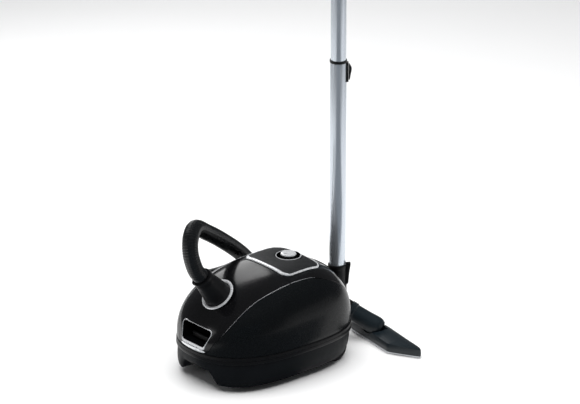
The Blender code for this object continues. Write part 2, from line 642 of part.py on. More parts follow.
# ------------------------------------------------------------------ parking bracket on the tail
bracket = box("parking_bracket", (-17, 166, 122), (17, 191.6, 150), "matte_graphite", bevel=1.0)
cut(bracket, box("bracket_slot", (-12.9, 184.6, 126.6), (0.9, 200, 160), cutter=True))

# ------------------------------------------------------------------ wand
wx, wy = WAND
pipe("lower_tube", (wx, wy, 137), (wx, wy, 655), R_LOW, R_LOW_IN, "wand_metal", 32)
turned("tube_collar", ((R_LOW + 0.7, LOWER_TOP), (R_LOW + 0.7, 655.3), (R_LOW_IN, 655.3), (R_LOW_IN, LOWER_TOP)), "satin_black", 32, (wx, wy, 0), loop=True)
pipe("upper_tube", (wx, wy, 425), (wx, wy, 896), R_UP, R_UP_IN, "wand_metal", 32)
turned("tube_end_sleeve", ((19.0, UPPER_TOP), (19.6, UPPER_TOP - 4), (19.6, 900.0), (18.6, 896.3), (R_UP_IN, 896.3), (R_UP_IN, UPPER_TOP)), "satin_black", 32, (wx, wy, 0), loop=True)
bd = Vector((0.643, 0.766, 0.0))
saddle = ring_solid("lock_saddle", [[(wx + bd.x * a - bd.y * b, wy + bd.y * a + bd.x * b, z) for a, b in ((17.0, -8.0), (22.5, -7.0), (22.5, 7.0), (17.0, 8.0))] for z in (610.0, 654.0)], "satin_black")
cut(saddle, rod("saddle_bore", (wx, wy, 600), (wx, wy, 670), R_LOW + GAP, steps=32, cutter=True))
ring_solid("tube_lock_button", [[(wx + bd.x * a - bd.y * b, wy + bd.y * a + bd.x * b, z) for a, b in ((22.9, -5.0), (h, -4.4), (h, 4.4), (22.9, 5.0))]
                                for z, h in ((614.0, 24.6), (628.0, 27.5), (636.0, 29.6), (641.0, 29.6), (650.0, 25.0))], "satin_black")

ND = (HUMP - ELBOW).normalized()
NLEN = (HUMP - ELBOW).length
elbow = turned("elbow_socket", ((0.0, SOCKET_TOP), (20.8, SOCKET_TOP), (21.6, SOCKET_TOP - 1), (21.6, SOCKET_TOP - 8), (20.9, SOCKET_TOP - 10), (20.9, 130.0),
                                (21.4, 104.0), (22.4, 90.0), (22.4, 79.0), (21.0, 70.0), (16.0, 62.5), (9.0, 58.0), (0.0, 56.6)), "satin_black", 32, (wx, wy, 0))
arm = rod("elbow_arm", ELBOW, ELBOW + ND * 32, 20.5, steps=28, cutter=True)
cut(elbow, arm, op='UNION')
cut(elbow, rod("tube_seat", (wx, wy, 136.7), (wx, wy, 190), R_LOW + GAP, steps=32, cutter=True),
    rod("elbow_bore_v", (wx, wy, 79), (wx, wy, 150), 15.0, steps=24, cutter=True),
    rod("elbow_bore_n", ELBOW, ELBOW + ND * 60, 15.0, steps=24, cutter=True))
release = [[(wx + bd.x * a - bd.y * b, wy + bd.y * a + bd.x * b, z) for a, b in ((23.2, -9.0), (h, -6.5), (h, 6.5), (23.2, 9.0))]
           for z, h in ((128.0, 23.9), (145.0, 25.4), (160.0, 27.6), (171.0, 29.8), (175.0, 29.2))]
ring_solid("socket_release", release, "satin_black")
hook = box("parking_hook", (-11.5, 186.0, 128.0), (-0.5, 200.0, 152.0), "satin_black", bevel=0.8)
cut(hook, turned("hook_relief", ((0.0, 190.0), (22.2, 190.0), (22.2, 161.0), (21.4, 160.0), (21.4, 130.0), (22.2, 100.0), (0.0, 100.0)), None, 32, (wx, wy, 0), cutter=True))
cut(hook, box("hook_trim", (-30, 197.5, 100), (20, 230, 200), cutter=True))
turned("nozzle_neck", ((22.2, 45.0), (22.2, 32.3), (15.4, 32.3), (15.4, NLEN + 6), (17.0, NLEN + 14), (20.8, NLEN + 7), (22.0, NLEN), (21.6, NLEN - 10), (20.6, NLEN - 24), (20.0, 60.0), (19.8, 46.5)),
       "matte_graphite", 28, ELBOW, ND, loop=True)

# ------------------------------------------------------------------ floor nozzle
NQ = Matrix.Rotation(NOZ_YAW, 4, 'Z')


def noz(s, v, z):
    p = NQ @ Vector((s, v, 0.0))
    return (p.x + NOZ[0], p.y + NOZ[1], z)


def noz_rear(s, extra=0.0):
    k = max(0.0, (abs(s) - NOZ_REAR_HALF) / (NOZ_HALF - NOZ_REAR_HALF))
    return NOZ_REAR + extra + (NOZ_FRONT - 9.0 - NOZ_REAR) * k ** 1.15


def noz_front(s):
    k = max(0.0, (abs(s) - 118.0) / 19.0)
    return NOZ_FRONT - 5.0 * k * k


def noz_top(s, f):
    """Height of the nozzle's back; f runs from 0 at the rear edge to 1 at the front edge."""
    return 18.5 + 11.5 * max(0.0, 1.0 - abs(s) / (NOZ_HALF + 1.0)) ** 0.5 * math.sin(math.pi * (0.15 + 0.7 * f))


rings = []
for s in (-137, -133, -126, -114, -95, -75, -50, -25, 0, 25, 50, 75, 95, 114, 126, 133, 137):
    a, b = noz_rear(s), noz_front(s)
    ring = [noz(s, a, 4.3), noz(s, a, 14.0)]
    for f in (0.06, 0.28, 0.5, 0.72, 0.94):
        ring.append(noz(s, a + (b - a) * f, noz_top(s, f)))
    ring += [noz(s, b, 14.0), noz(s, b, 4.3)]
    rings.append(ring)
body = ring_solid("nozzle_body", rings, "matte_graphite", smooth=50.0)
hump_cut = turned("hump_cutter", [(24.0 * math.cos(a), 24.0 * math.sin(a)) for a in [math.pi / 2 - k * math.pi / 12 for k in range(13)]], None, 28, HUMP, (0, 0, 1), cutter=True)
duct_cut = box("duct_cutter", (-16, -14, 2), (16, 14, 50), cutter=True)
duct_cut.location = Vector((NOZ[0], NOZ[1], 26)) * MM
duct_cut.rotation_euler = (0, 0, NOZ_YAW)


def noz_box(name, s0, s1, v0, v1, z0, z1, mat=None, cutter=False, bevel=0.0):
    o = box(name, (s0, v0, z0), (s1, v1, z1), mat, cutter, bevel)
    c = noz((s0 + s1) / 2, (v0 + v1) / 2, (z0 + z1) / 2)
    o.location = Vector(c) * MM
    o.rotation_euler = (0, 0, NOZ_YAW)
    return o


cut(body, hump_cut, duct_cut, rod("neck_channel", HUMP + ND * 2, HUMP - ND * 80, 24.6, steps=28, cutter=True), noz_box("brush_well", -101, 101, 15.6, 20.4, 0, 12.6, cutter=True), noz_box("pedal_well", -69.4, -40.6, -8.6, 14.4, 15.6, 60.0, cutter=True))
sole = ring_solid("sole_plate", [[noz(s, v, z) for s, v in ((-NOZ_REAR_HALF + 1, NOZ_REAR + 1), (NOZ_REAR_HALF - 1, NOZ_REAR + 1), (NOZ_HALF - 2.5, NOZ_FRONT - 9), (NOZ_HALF - 3, NOZ_FRONT - 5.5),
                                                                (NOZ_HALF - 14, NOZ_FRONT - 1), (-NOZ_HALF + 14, NOZ_FRONT - 1), (-NOZ_HALF + 3, NOZ_FRONT - 5.5), (-NOZ_HALF + 2.5, NOZ_FRONT - 9))]
                                 for z in (0.0, 4.0)], "steel")
cut(sole, noz_box("suction_slot", -95, 95, -6, 6, -3, 8, cutter=True), noz_box("brush_slot", -101, 101, 15.6, 20.4, -3, 8, cutter=True))
noz_box("brush_strip", -100, 100, 16.0, 20.0, 0.6, 9.0, "bristle")
noz_box("nozzle_pedal", -69, -41, -7, 13, 20.0, 31.5, "steel", bevel=1.5)
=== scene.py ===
"""Looks of the canister vacuum cleaner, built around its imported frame.

Lengths in the shape functions are millimetres in the machine's own frame: nose to -Y, left side to +X, floor at Z 0.
"""
import bpy
import bmesh
import math
from mathutils import Vector, Matrix


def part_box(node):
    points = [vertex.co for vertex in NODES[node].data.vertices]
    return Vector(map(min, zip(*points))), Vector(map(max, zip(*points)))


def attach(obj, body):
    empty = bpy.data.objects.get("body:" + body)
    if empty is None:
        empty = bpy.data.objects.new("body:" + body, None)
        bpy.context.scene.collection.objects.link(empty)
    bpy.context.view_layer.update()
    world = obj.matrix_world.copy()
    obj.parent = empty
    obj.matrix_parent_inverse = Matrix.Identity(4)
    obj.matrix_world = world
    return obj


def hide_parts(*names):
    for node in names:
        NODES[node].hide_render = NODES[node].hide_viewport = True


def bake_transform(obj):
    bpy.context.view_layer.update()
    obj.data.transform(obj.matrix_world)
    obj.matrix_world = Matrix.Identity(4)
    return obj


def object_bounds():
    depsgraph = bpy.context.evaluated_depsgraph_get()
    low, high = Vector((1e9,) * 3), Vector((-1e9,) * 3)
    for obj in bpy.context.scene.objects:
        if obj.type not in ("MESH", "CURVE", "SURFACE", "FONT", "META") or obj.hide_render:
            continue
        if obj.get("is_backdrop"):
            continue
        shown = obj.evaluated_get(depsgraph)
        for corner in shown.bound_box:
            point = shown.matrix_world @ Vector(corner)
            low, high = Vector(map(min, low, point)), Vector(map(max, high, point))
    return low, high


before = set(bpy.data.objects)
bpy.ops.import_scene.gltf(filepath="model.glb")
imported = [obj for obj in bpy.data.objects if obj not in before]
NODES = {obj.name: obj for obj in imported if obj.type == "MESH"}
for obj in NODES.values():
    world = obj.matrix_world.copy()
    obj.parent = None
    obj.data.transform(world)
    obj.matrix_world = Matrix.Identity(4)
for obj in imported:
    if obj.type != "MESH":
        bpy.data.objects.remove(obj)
cad_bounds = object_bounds()

# ------------------------------------------------------------------ driving dimensions, as in the solid model
HALF_W, HALF_L, MID_Y, RIM_Z = 145.0, 200.0, -10.0, 85.0
CROWN_H, CROWN_Y, CROWN_F, CROWN_R = 147.0, 60.0, 270.0, 130.0
SHELL, PLAN_EXP, PLAN_EXP_F, LID_END = 3.0, 3.0, 2.4, -5.3
BUMPER_LO, TUB_Z, CHIN_START, CHIN_RISE, CHIN_HALF, GAP = 68.3, 12.0, -146.0, 29.0, 66.0, 0.3
SEAM = ((-210.0, 0.0), (-206.5, 0.0), (-204.2, 5.0), (-201.5, 16.0), (-198.6, 25.0), (-189.4, 35.0), (-171.8, 44.5),
        (-146.0, 52.0), (-125.0, 56.0), (-97.0, 58.5), (-72.0, 59.0), (-7.0, 59.0), (20.0, 58.3), (52.0, 56.5), (72.0, 52.5),
        (94.0, 47.5), (120.0, 43.0), (144.0, 38.5), (162.0, 30.5), (175.0, 18.0), (185.0, 6.0), (188.0, 1.0), (190.0, 0.0))
INLET = Vector((0.0, -135.0, 194.0))
N_IN = Vector((0.0, -math.sin(math.radians(40)), math.cos(math.radians(40))))
CUFF_LEN, HOSE_R = 72.0, 18.5
PANEL = (0.0, 49.5, 72.0, 51.5, 19.0)
DIAL, DIAL_R = (0.0, 67.0), 29.0
WAND, SOCKET_TOP, LOWER_TOP, UPPER_TOP = (-6.0, 216.0), 173.0, 661.0, 922.0
ELBOW, HUMP = Vector((-6.0, 216.0, 79.0)), Vector((72.0, 264.3, 32.3))
NOZ, NOZ_YAW, NOZ_HALF, NOZ_REAR_HALF, NOZ_FRONT, NOZ_REAR = (78.6, 269.2), math.radians(-8.7), 137.0, 75.0, 28.0, -28.0

# the machine frame's place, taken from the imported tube
_lo, _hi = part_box("lower_tube")
OFF = Vector(((_lo.x + _hi.x) / 2 - WAND[0] / 1000.0, (_lo.y + _hi.y) / 2 - WAND[1] / 1000.0, 0.0))


def W(p):
    return Vector((p[0] / 1000.0 + OFF.x, p[1] / 1000.0 + OFF.y, p[2] / 1000.0))


# ------------------------------------------------------------------ materials
MATS = {}


def new_mat(name, base, rough, metal=0.0, spec=0.3, coat=0.0, coat_rough=0.06):
    m = bpy.data.materials.new(name)
    m.use_nodes = True
    b = m.node_tree.nodes["Principled BSDF"]
    b.inputs["Base Color"].default_value = (*base, 1.0)
    b.inputs["Roughness"].default_value = rough
    b.inputs["Metallic"].default_value = metal
    b.inputs["Specular IOR Level"].default_value = spec
    b.inputs["Coat Weight"].default_value = coat
    b.inputs["Coat Roughness"].default_value = coat_rough
    MATS[name] = m
    return m, m.node_tree, b


def coords(nt, stretch=(1.0, 1.0, 1.0)):
    tc = nt.nodes.new("ShaderNodeTexCoord")
    mp = nt.nodes.new("ShaderNodeMapping")
    mp.inputs["Scale"].default_value = stretch
    nt.links.new(tc.outputs["Object"], mp.inputs["Vector"])
    return mp.outputs["Vector"]


def noise(nt, vec, scale, detail=3.0, rough=0.5):
    n = nt.nodes.new("ShaderNodeTexNoise")
    n.inputs["Scale"].default_value = scale
    n.inputs["Detail"].default_value = detail
    n.inputs["Roughness"].default_value = rough
    nt.links.new(vec, n.inputs["Vector"])
    return n.outputs["Fac"]


def ramp_to(nt, fac, lo, hi, target):
    mr = nt.nodes.new("ShaderNodeMapRange")
    mr.inputs["From Min"].default_value = 0.3
    mr.inputs["From Max"].default_value = 0.7
    mr.inputs["To Min"].default_value = lo
    mr.inputs["To Max"].default_value = hi
    nt.links.new(fac, mr.inputs["Value"])
    nt.links.new(mr.outputs["Result"], target)


def tint(nt, fac, a, b, target):
    mx = nt.nodes.new("ShaderNodeMix")
    mx.data_type = 'RGBA'
    mx.inputs["A"].default_value = (*a, 1.0)
    mx.inputs["B"].default_value = (*b, 1.0)
    nt.links.new(fac, mx.inputs["Factor"])
    nt.links.new(mx.outputs["Result"], target)


def bump(nt, fac, strength, dist, bsdf, after=None):
    bp = nt.nodes.new("ShaderNodeBump")
    bp.inputs["Strength"].default_value = strength
    bp.inputs["Distance"].default_value = dist
    nt.links.new(fac, bp.inputs["Height"])
    if after is not None:
        nt.links.new(after.outputs["Normal"], bp.inputs["Normal"])
    nt.links.new(bp.outputs["Normal"], bsdf.inputs["Normal"])
    return bp


def plastic(name, base, rough, spread=0.04, spec=0.3, coat=0.0, grain=900.0, grain_h=0.00003, wave=25.0, wave_h=0.0, shade=0.25, metal=0.0, stretch=(1, 1, 1)):
    """Moulded or plated surface with a faint tone shift, a varying sheen and a fine grain."""
    m, nt, b = new_mat(name, base, rough, metal, spec, coat)
    v = coords(nt, stretch)
    big = noise(nt, v, 18.0, 4.0)
    dark = tuple(c * (1 - shade) for c in base)
    light = tuple(min(1.0, c * (1 + shade)) for c in base)
    tint(nt, big, dark, light, b.inputs["Base Color"])
    ramp_to(nt, noise(nt, v, 70.0, 5.0), max(0.02, rough - spread), rough + spread, b.inputs["Roughness"])
    last = None
    if wave_h:
        last = bump(nt, noise(nt, v, wave, 1.0), 0.3, wave_h, b)
    if grain_h:
        bump(nt, noise(nt, v, grain, 2.0, 0.6), 0.6, grain_h, b, last)
    return m


plastic("gloss_shell", (0.0035, 0.0035, 0.004), 0.17, 0.03, spec=0.3, coat=0.12, grain_h=0.0, wave_h=0.00006, wave=14.0)
plastic("gloss_side", (0.0035, 0.0042, 0.0048), 0.27, 0.03, spec=0.17, coat=0.04, grain_h=0.0, wave_h=0.00006, wave=12.0)
plastic("graphite", (0.0055, 0.0068, 0.0085), 0.5, 0.05, spec=0.13, grain=1400.0, grain_h=0.00006)
plastic("nozzle_skin", (0.009, 0.014, 0.0175), 0.38, 0.06, spec=0.4, grain=1200.0, grain_h=0.00007)
plastic("satin", (0.005, 0.005, 0.0056), 0.36, 0.05, spec=0.22, grain=1100.0, grain_h=0.00004)
plastic("dark_inner", (0.0025, 0.0025, 0.003), 0.55, 0.05, spec=0.1, grain=900.0)
plastic("rubber", (0.010, 0.010, 0.011), 0.68, 0.06, spec=0.3, grain=1600.0, grain_h=0.00009)
plastic("hose_skin", (0.0042, 0.0048, 0.0054), 0.3, 0.05, spec=0.48, grain=1500.0, grain_h=0.00004)
plastic("silver", (0.84, 0.85, 0.87), 0.27, 0.04, metal=0.55, grain=700.0, grain_h=0.00001, shade=0.05)
plastic("chrome", (0.82, 0.83, 0.85), 0.12, 0.03, metal=1.0, grain_h=0.0, shade=0.04)
plastic("tube_metal", (0.66, 0.71, 0.77), 0.24, 0.012, metal=0.74, grain=90.0, grain_h=0.000002, shade=0.03, stretch=(12.0, 12.0, 0.6))
# bright metallic finish of the strips that paint the highlight along the lid's rounded seam edges
plastic("seam_silver", (0.85, 0.86, 0.88), 0.32, 0.05, metal=0.85, grain_h=0.0, shade=0.05)
plastic("inner_grey", (0.25, 0.26, 0.27), 0.55, 0.05, spec=0.4, grain=900.0)
plastic("steel", (0.55, 0.56, 0.58), 0.33, 0.06, metal=1.0, grain=600.0, grain_h=0.00002, shade=0.08, stretch=(1.0, 20.0, 20.0))
plastic("cast_metal", (0.42, 0.43, 0.45), 0.5, 0.08, metal=0.9, grain=420.0, grain_h=0.0001, shade=0.12)
plastic("board", (0.02, 0.13, 0.06), 0.4, 0.08, spec=0.5, grain=500.0, grain_h=0.00008)
plastic("bristle", (0.05, 0.05, 0.055), 0.85, 0.05, spec=0.2, grain=900.0, grain_h=0.0008, stretch=(1.6, 1.6, 0.08), shade=0.5)


def fleece(name, base, scale):
    m, nt, b = new_mat(name, base, 0.92, 0.0, 0.2)
    v = coords(nt)
    tint(nt, noise(nt, v, scale * 0.2, 6.0, 0.7), tuple(c * 0.8 for c in base), tuple(min(1, c * 1.08) for c in base), b.inputs["Base Color"])
    ramp_to(nt, noise(nt, v, scale, 3.0), 0.85, 0.97, b.inputs["Roughness"])
    bump(nt, noise(nt, v, scale, 6.0, 0.75), 0.7, 0.0004, b)
    b.inputs["Sheen Weight"].default_value = 0.3


fleece("bag_fleece", (0.72, 0.66, 0.54), 700.0)
fleece("filter_fleece", (0.85, 0.86, 0.84), 900.0)


def dotted(name, base, dot, pitch, share, rough):
    """A dark face with a regular field of small raised dots."""
    m, nt, b = new_mat(name, base, rough, 0.0, 0.28)
    tc = nt.nodes.new("ShaderNodeTexCoord")
    sep = nt.nodes.new("ShaderNodeSeparateXYZ")
    nt.links.new(tc.outputs["Object"], sep.inputs[0])
    waves = []
    for k in ("X", "Y"):
        mul = nt.nodes.new("ShaderNodeMath")
        mul.operation = 'MULTIPLY'
        mul.inputs[1].default_value = 2 * math.pi / pitch
        nt.links.new(sep.outputs[k], mul.inputs[0])
        sn = nt.nodes.new("ShaderNodeMath")
        sn.operation = 'SINE'
        nt.links.new(mul.outputs[0], sn.inputs[0])
        waves.append(sn)
    add = nt.nodes.new("ShaderNodeMath")
    add.operation = 'ADD'
    nt.links.new(waves[0].outputs[0], add.inputs[0])
    nt.links.new(waves[1].outputs[0], add.inputs[1])
    mr = nt.nodes.new("ShaderNodeMapRange")
    mr.interpolation_type = 'SMOOTHSTEP'
    mr.inputs["From Min"].default_value = 2.0 - share - 0.5
    mr.inputs["From Max"].default_value = 2.0 - share + 0.3
    nt.links.new(add.outputs[0], mr.inputs["Value"])
    tint(nt, mr.outputs["Result"], base, dot, b.inputs["Base Color"])
    ramp_to(nt, noise(nt, tc.outputs["Object"], 90.0), rough - 0.06, rough + 0.06, b.inputs["Roughness"])
    bump(nt, mr.outputs["Result"], 0.8, 0.0003, b)


dotted("panel_mesh", (0.004, 0.004, 0.0044), (0.045, 0.048, 0.05), 0.0026, 1.0, 0.42)
dotted("knurl", (0.006, 0.006, 0.0065), (0.03, 0.031, 0.033), 0.0022, 1.0, 0.4)


# ------------------------------------------------------------------ mesh helpers
def make(name, verts, faces, mats, body, slot=None, replaces=(), smooth=40.0, index=None, world=False):
    me = bpy.data.meshes.new(name)
    me.from_pydata([tuple(v) if world else tuple(W(v)) for v in verts], [], faces)
    bm = bmesh.new()
    bm.from_mesh(me)
    if index is not None:
        bm.faces.ensure_lookup_table()
        for f, i in zip(bm.faces, index):
            f.material_index = i
    bmesh.ops.remove_doubles(bm, verts=bm.verts, dist=2e-6)
    bmesh.ops.dissolve_degenerate(bm, edges=bm.edges, dist=1e-7)
    bmesh.ops.recalc_face_normals(bm, faces=bm.faces)
    bm.to_mesh(me)
    bm.free()
    me.shade_smooth()
    me.set_sharp_from_angle(angle=math.radians(smooth))
    ob = bpy.data.objects.new(name, me)
    bpy.context.scene.collection.objects.link(ob)
    for m in ([mats] if isinstance(mats, str) else mats):
        me.materials.append(MATS[m])
    if body:
        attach(ob, body)
    if replaces:
        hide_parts(*replaces)
    return ob


def carve(ob, cutters, op='DIFFERENCE', smooth=40.0):
    """Applies exact cuts and removes the cutters."""
    for c in cutters:
        m = ob.modifiers.new("cut", 'BOOLEAN')
        m.operation = op
        m.solver = 'EXACT'
        m.object = c
    bpy.context.view_layer.update()
    dg = bpy.context.evaluated_depsgraph_get()
    me = bpy.data.meshes.new_from_object(ob.evaluated_get(dg))
    old = ob.data
    ob.modifiers.clear()
    ob.data = me
    mats = [m for m in old.materials]
    me.materials.clear()
    for m in mats:
        me.materials.append(m)
    bpy.data.meshes.remove(old)
    for c in cutters:
        bpy.data.objects.remove(c, do_unlink=True)
    me.shade_smooth()
    me.set_sharp_from_angle(angle=math.radians(smooth))
    return ob


def rings_mesh(rings, closed=False, caps=True):
    n = len(rings[0])
    verts = [p for r in rings for p in r]
    faces = []
    m = len(rings)
    for i in range(m if closed else m - 1):
        a, b = i * n, ((i + 1) % m) * n
        for k in range(n):
            j = (k + 1) % n
            faces.append((a + k, a + j, b + j, b + k))
    if not closed and caps:
        faces.append(tuple(reversed(range(n))))
        faces.append(tuple((m - 1) * n + k for k in range(n)))
    return verts, faces


def ring_piece(name, rings, mats, body, closed=False, **kw):
    v, f = rings_mesh(rings, closed)
    return make(name, v, f, mats, body, **kw)


def basis(axis):
    q = Vector(axis).normalized().to_track_quat('Z', 'Y')
    return q @ Vector((1, 0, 0)), q @ Vector((0, 1, 0)), Vector(axis).normalized()


def soften(profile, r, seg=3, loop=True):
    """The profile with each corner rounded by up to r."""
    out, n = [], len(profile)
    for i, p in enumerate(profile):
        p = Vector(p)
        if not loop and i in (0, n - 1):
            out.append(tuple(p))
            continue
        a, b = Vector(profile[i - 1]), Vector(profile[(i + 1) % n])
        da, db = (a - p), (b - p)
        k = min(r, da.length * 0.45, db.length * 0.45)
        if k < 1e-6:
            out.append(tuple(p))
            continue
        s, e = p + da.normalized() * k, p + db.normalized() * k
        for j in range(seg + 1):
            t = j / seg
            out.append(tuple(s * (1 - t) ** 2 + p * 2 * t * (1 - t) + e * t * t))
    return out


def lathe(name, profile, at, axis, mats, body, n=72, loop=True, r=0.6, seg=3, split=None, wobble=None, **kw):
    """Turned piece; a loop profile, or an open one that starts and ends on the axis. split(radius, height) picks a material."""
    prof = soften(profile, r, seg, loop) if r else list(profile)
    ex, ey, ez = basis(axis)
    at = Vector(at)
    verts, faces, index = [], [], []
    for rad, h in prof:
        for k in range(n):
            a = 2 * math.pi * k / n
            rr = rad + (wobble(rad, h, a) if wobble and rad > 1e-6 else 0.0)
            verts.append(at + ex * (rr * math.cos(a)) + ey * (rr * math.sin(a)) + ez * h)
    m = len(prof)
    for i in range(m if loop else m - 1):
        j = (i + 1) % m
        pr, ph = (prof[i][0] + prof[j][0]) / 2, (prof[i][1] + prof[j][1]) / 2
        for k in range(n):
            q = (k + 1) % n
            faces.append((i * n + k, i * n + q, j * n + q, j * n + k))
            index.append(split(pr, ph) if split else 0)
    return make(name, verts, faces, mats, body, index=index if split else None, **kw)


def cyl(p0, p1, r, n=48):
    """A plain cutter."""
    p0, p1 = Vector(p0), Vector(p1)
    ex, ey, ez = basis(p1 - p0)
    rings = [[p + ex * (r * math.cos(2 * math.pi * k / n)) + ey * (r * math.sin(2 * math.pi * k / n)) for k in range(n)] for p in (p0, p1)]
    v, f = rings_mesh(rings)
    return make("cutter", v, f, [], None)


def block(lo, hi):
    (x0, y0, z0), (x1, y1, z1) = lo, hi
    rings = [[(x0, y0, z), (x1, y0, z), (x1, y1, z), (x0, y1, z)] for z in (z0, z1)]
    v, f = rings_mesh(rings)
    return make("cutter", v, f, [], None)


def smooth_path(keys, step):
    """Points along a centripetal spline through the keys, about one step apart."""
    pts = [Vector(k) for k in keys]
    pts = [pts[0] * 2 - pts[1]] + pts + [pts[-1] * 2 - pts[-2]]
    dense = []
    for i in range(1, len(pts) - 2):
        p0, p1, p2, p3 = pts[i - 1:i + 3]
        t0 = 0.0
        t1 = t0 + (p1 - p0).length ** 0.5
        t2 = t1 + (p2 - p1).length ** 0.5
        t3 = t2 + (p3 - p2).length ** 0.5
        for k in range(40):
            t = t1 + (t2 - t1) * k / 40.0
            a1 = p0 * ((t1 - t) / (t1 - t0)) + p1 * ((t - t0) / (t1 - t0))
            a2 = p1 * ((t2 - t) / (t2 - t1)) + p2 * ((t - t1) / (t2 - t1))
            a3 = p2 * ((t3 - t) / (t3 - t2)) + p3 * ((t - t2) / (t3 - t2))
            b1 = a1 * ((t2 - t) / (t2 - t0)) + a2 * ((t - t0) / (t2 - t0))
            b2 = a2 * ((t3 - t) / (t3 - t1)) + a3 * ((t - t1) / (t3 - t1))
            dense.append(b1 * ((t2 - t) / (t2 - t1)) + b2 * ((t - t1) / (t2 - t1)))
    dense.append(pts[-2].copy())
    run = [0.0]
    for p, q in zip(dense, dense[1:]):
        run.append(run[-1] + (q - p).length)
    n = max(2, round(run[-1] / step))
    out, k = [], 0
    for i in range(n + 1):
        s = run[-1] * i / n
        while k < len(run) - 2 and run[k + 1] < s:
            k += 1
        f = (s - run[k]) / max(1e-9, run[k + 1] - run[k])
        out.append(dense[k].lerp(dense[k + 1], min(1.0, max(0.0, f))))
    return out


def sweep(pts, radius, sides, flute=0.0, count=14):
    """Rings of a tube along points; radius(s) gives the radius at a run length s."""
    tan = []
    for i in range(len(pts)):
        a, b = pts[max(0, i - 1)], pts[min(len(pts) - 1, i + 1)]
        tan.append((b - a).normalized())
    nrm = tan[0].orthogonal().normalized()
    rings, s = [], 0.0
    for i, p in enumerate(pts):
        if i:
            s += (p - pts[i - 1]).length
            nrm = (nrm - tan[i] * nrm.dot(tan[i])).normalized()
        bin_ = tan[i].cross(nrm)
        r = radius(s)
        ring = []
        for k in range(sides):
            a = 2 * math.pi * k / sides
            q = r - flute * (0.5 - 0.5 * math.cos(count * a))
            ring.append(p + nrm * (q * math.cos(a)) + bin_ * (q * math.sin(a)))
        rings.append(ring)
    return rings


def cad(node, mat):
    o = NODES[node]
    o.data.materials.clear()
    o.data.materials.append(MATS[mat])


# ------------------------------------------------------------------ body form
def table(keys, x):
    if x <= keys[0][0]:
        return keys[0][1]
    for (a, p), (b, q) in zip(keys, keys[1:]):
        if x <= b:
            return p + (q - p) * (x - a) / (b - a)
    return keys[-1][1]


def crown(w):
    y = MID_Y + HALF_L * w
    u = (y - CROWN_Y) / (CROWN_F if y < CROWN_Y else CROWN_R)
    return max(0.0, 1.0 - min(1.0, abs(u)) ** 2.2) ** 0.5


def width(w):
    e = PLAN_EXP if w > 0 else PLAN_EXP_F
    return max(0.0, 1.0 - min(1.0, abs(w)) ** e) ** (1.0 / e)


def dome(w, deg, t=0.0):
    a = math.radians(deg)
    c, s = math.cos(a), math.sin(a)
    c = math.copysign(abs(c) ** (2.0 / 3.0), c)
    s = abs(s) ** (2.0 / 3.0)
    return ((HALF_W - t) * width(w) * c, MID_Y + (HALF_L - t) * w, RIM_Z + (CROWN_H - t) * crown(w) * s)


def dome_z(x, y):
    w = (y - MID_Y) / HALF_L
    a = HALF_W * width(w)
    if a <= abs(x):
        return RIM_Z
    c = (abs(x) / a) ** 1.5
    return RIM_Z + CROWN_H * crown(w) * (1.0 - c * c) ** (1.0 / 3.0)


def front_y(x, z):
    lo, hi = -1.0, -0.45
    for _ in range(40):
        m = (lo + hi) / 2
        if dome_z(x, MID_Y + HALF_L * m) < z:
            lo = m
        else:
            hi = m
    return MID_Y + HALF_L * hi


def seam_at(w):
    """The seam's angle, smoothed a little along the body."""
    y = MID_Y + HALF_L * w
    return (table(SEAM, y - 4) + table(SEAM, y) * 2 + table(SEAM, y + 4)) / 4 if -196 < y < 180 else table(SEAM, y)


def superplan(a, b, n, z, cx=0.0, cy=MID_Y, nose=PLAN_EXP_F):
    out = []
    for i in range(n):
        p = 2 * math.pi * i / n
        c, s = math.cos(p), math.sin(p)
        e = PLAN_EXP if s > 0 else nose
        out.append((cx + a * math.copysign(abs(c) ** (2.0 / e), c), cy + b * math.copysign(abs(s) ** (2.0 / e), s), z))
    return out


def shell(name, ws, arcs, mats, body, sink_u=(False, False), **kw):
    """A shell piece over stations ws; arcs(w) gives its lower and upper angle. The long edges are rounded over."""
    nv = 56
    rows = []
    for w, du in ws:
        a, b = arcs(w)
        row = []
        span = b - a
        lead = min(0.45, span * 0.08)
        stops = [(0.0, 1.1), (lead * 0.5, 0.4), (lead * 1.6, 0.0)]
        angs = [(a + d, t) for d, t in stops] + [(a + lead * 3 + (span - lead * 6) * k / nv, 0.0) for k in range(nv + 1)] + [(b - d, t) for d, t in reversed(stops)]
        rows.append([dome(w, d, max(t, du)) for d, t in angs])
    inner = []
    for w, du in ws:
        a, b = arcs(w)
        n = len(rows[0])
        inner.append([dome(w, a + (b - a) * k / (n - 1), SHELL) for k in range(n)])
    n = len(rows[0])
    m = len(rows)
    verts = [p for r in rows for p in r] + [p for r in inner for p in r]
    o = m * n
    faces = []
    for i in range(m - 1):
        for j in range(n - 1):
            faces.append((i * n + j, (i + 1) * n + j, (i + 1) * n + j + 1, i * n + j + 1))
            faces.append((o + i * n + j, o + i * n + j + 1, o + (i + 1) * n + j + 1, o + (i + 1) * n + j))
        faces.append((i * n, o + i * n, o + (i + 1) * n, (i + 1) * n))
        faces.append((i * n + n - 1, (i + 1) * n + n - 1, o + (i + 1) * n + n - 1, o + i * n + n - 1))
    for j in range(n - 1):
        faces.append((j, j + 1, o + j + 1, o + j))
        k = (m - 1) * n
        faces.append((k + j, o + k + j, o + k + j + 1, k + j + 1))
    return make(name, verts, faces, mats, body, smooth=55.0, **kw)


LIFT = 0.35


def edge_u(ws, lo, hi):
    """Returns the stations unchanged; no rounded-over stations are added."""
    out = list(ws)
    return out


def lid_arc(w):
    s = seam_at(w)
    s = s + (LIFT if s > 2 else 0.0)
    return s, 180.0 - s


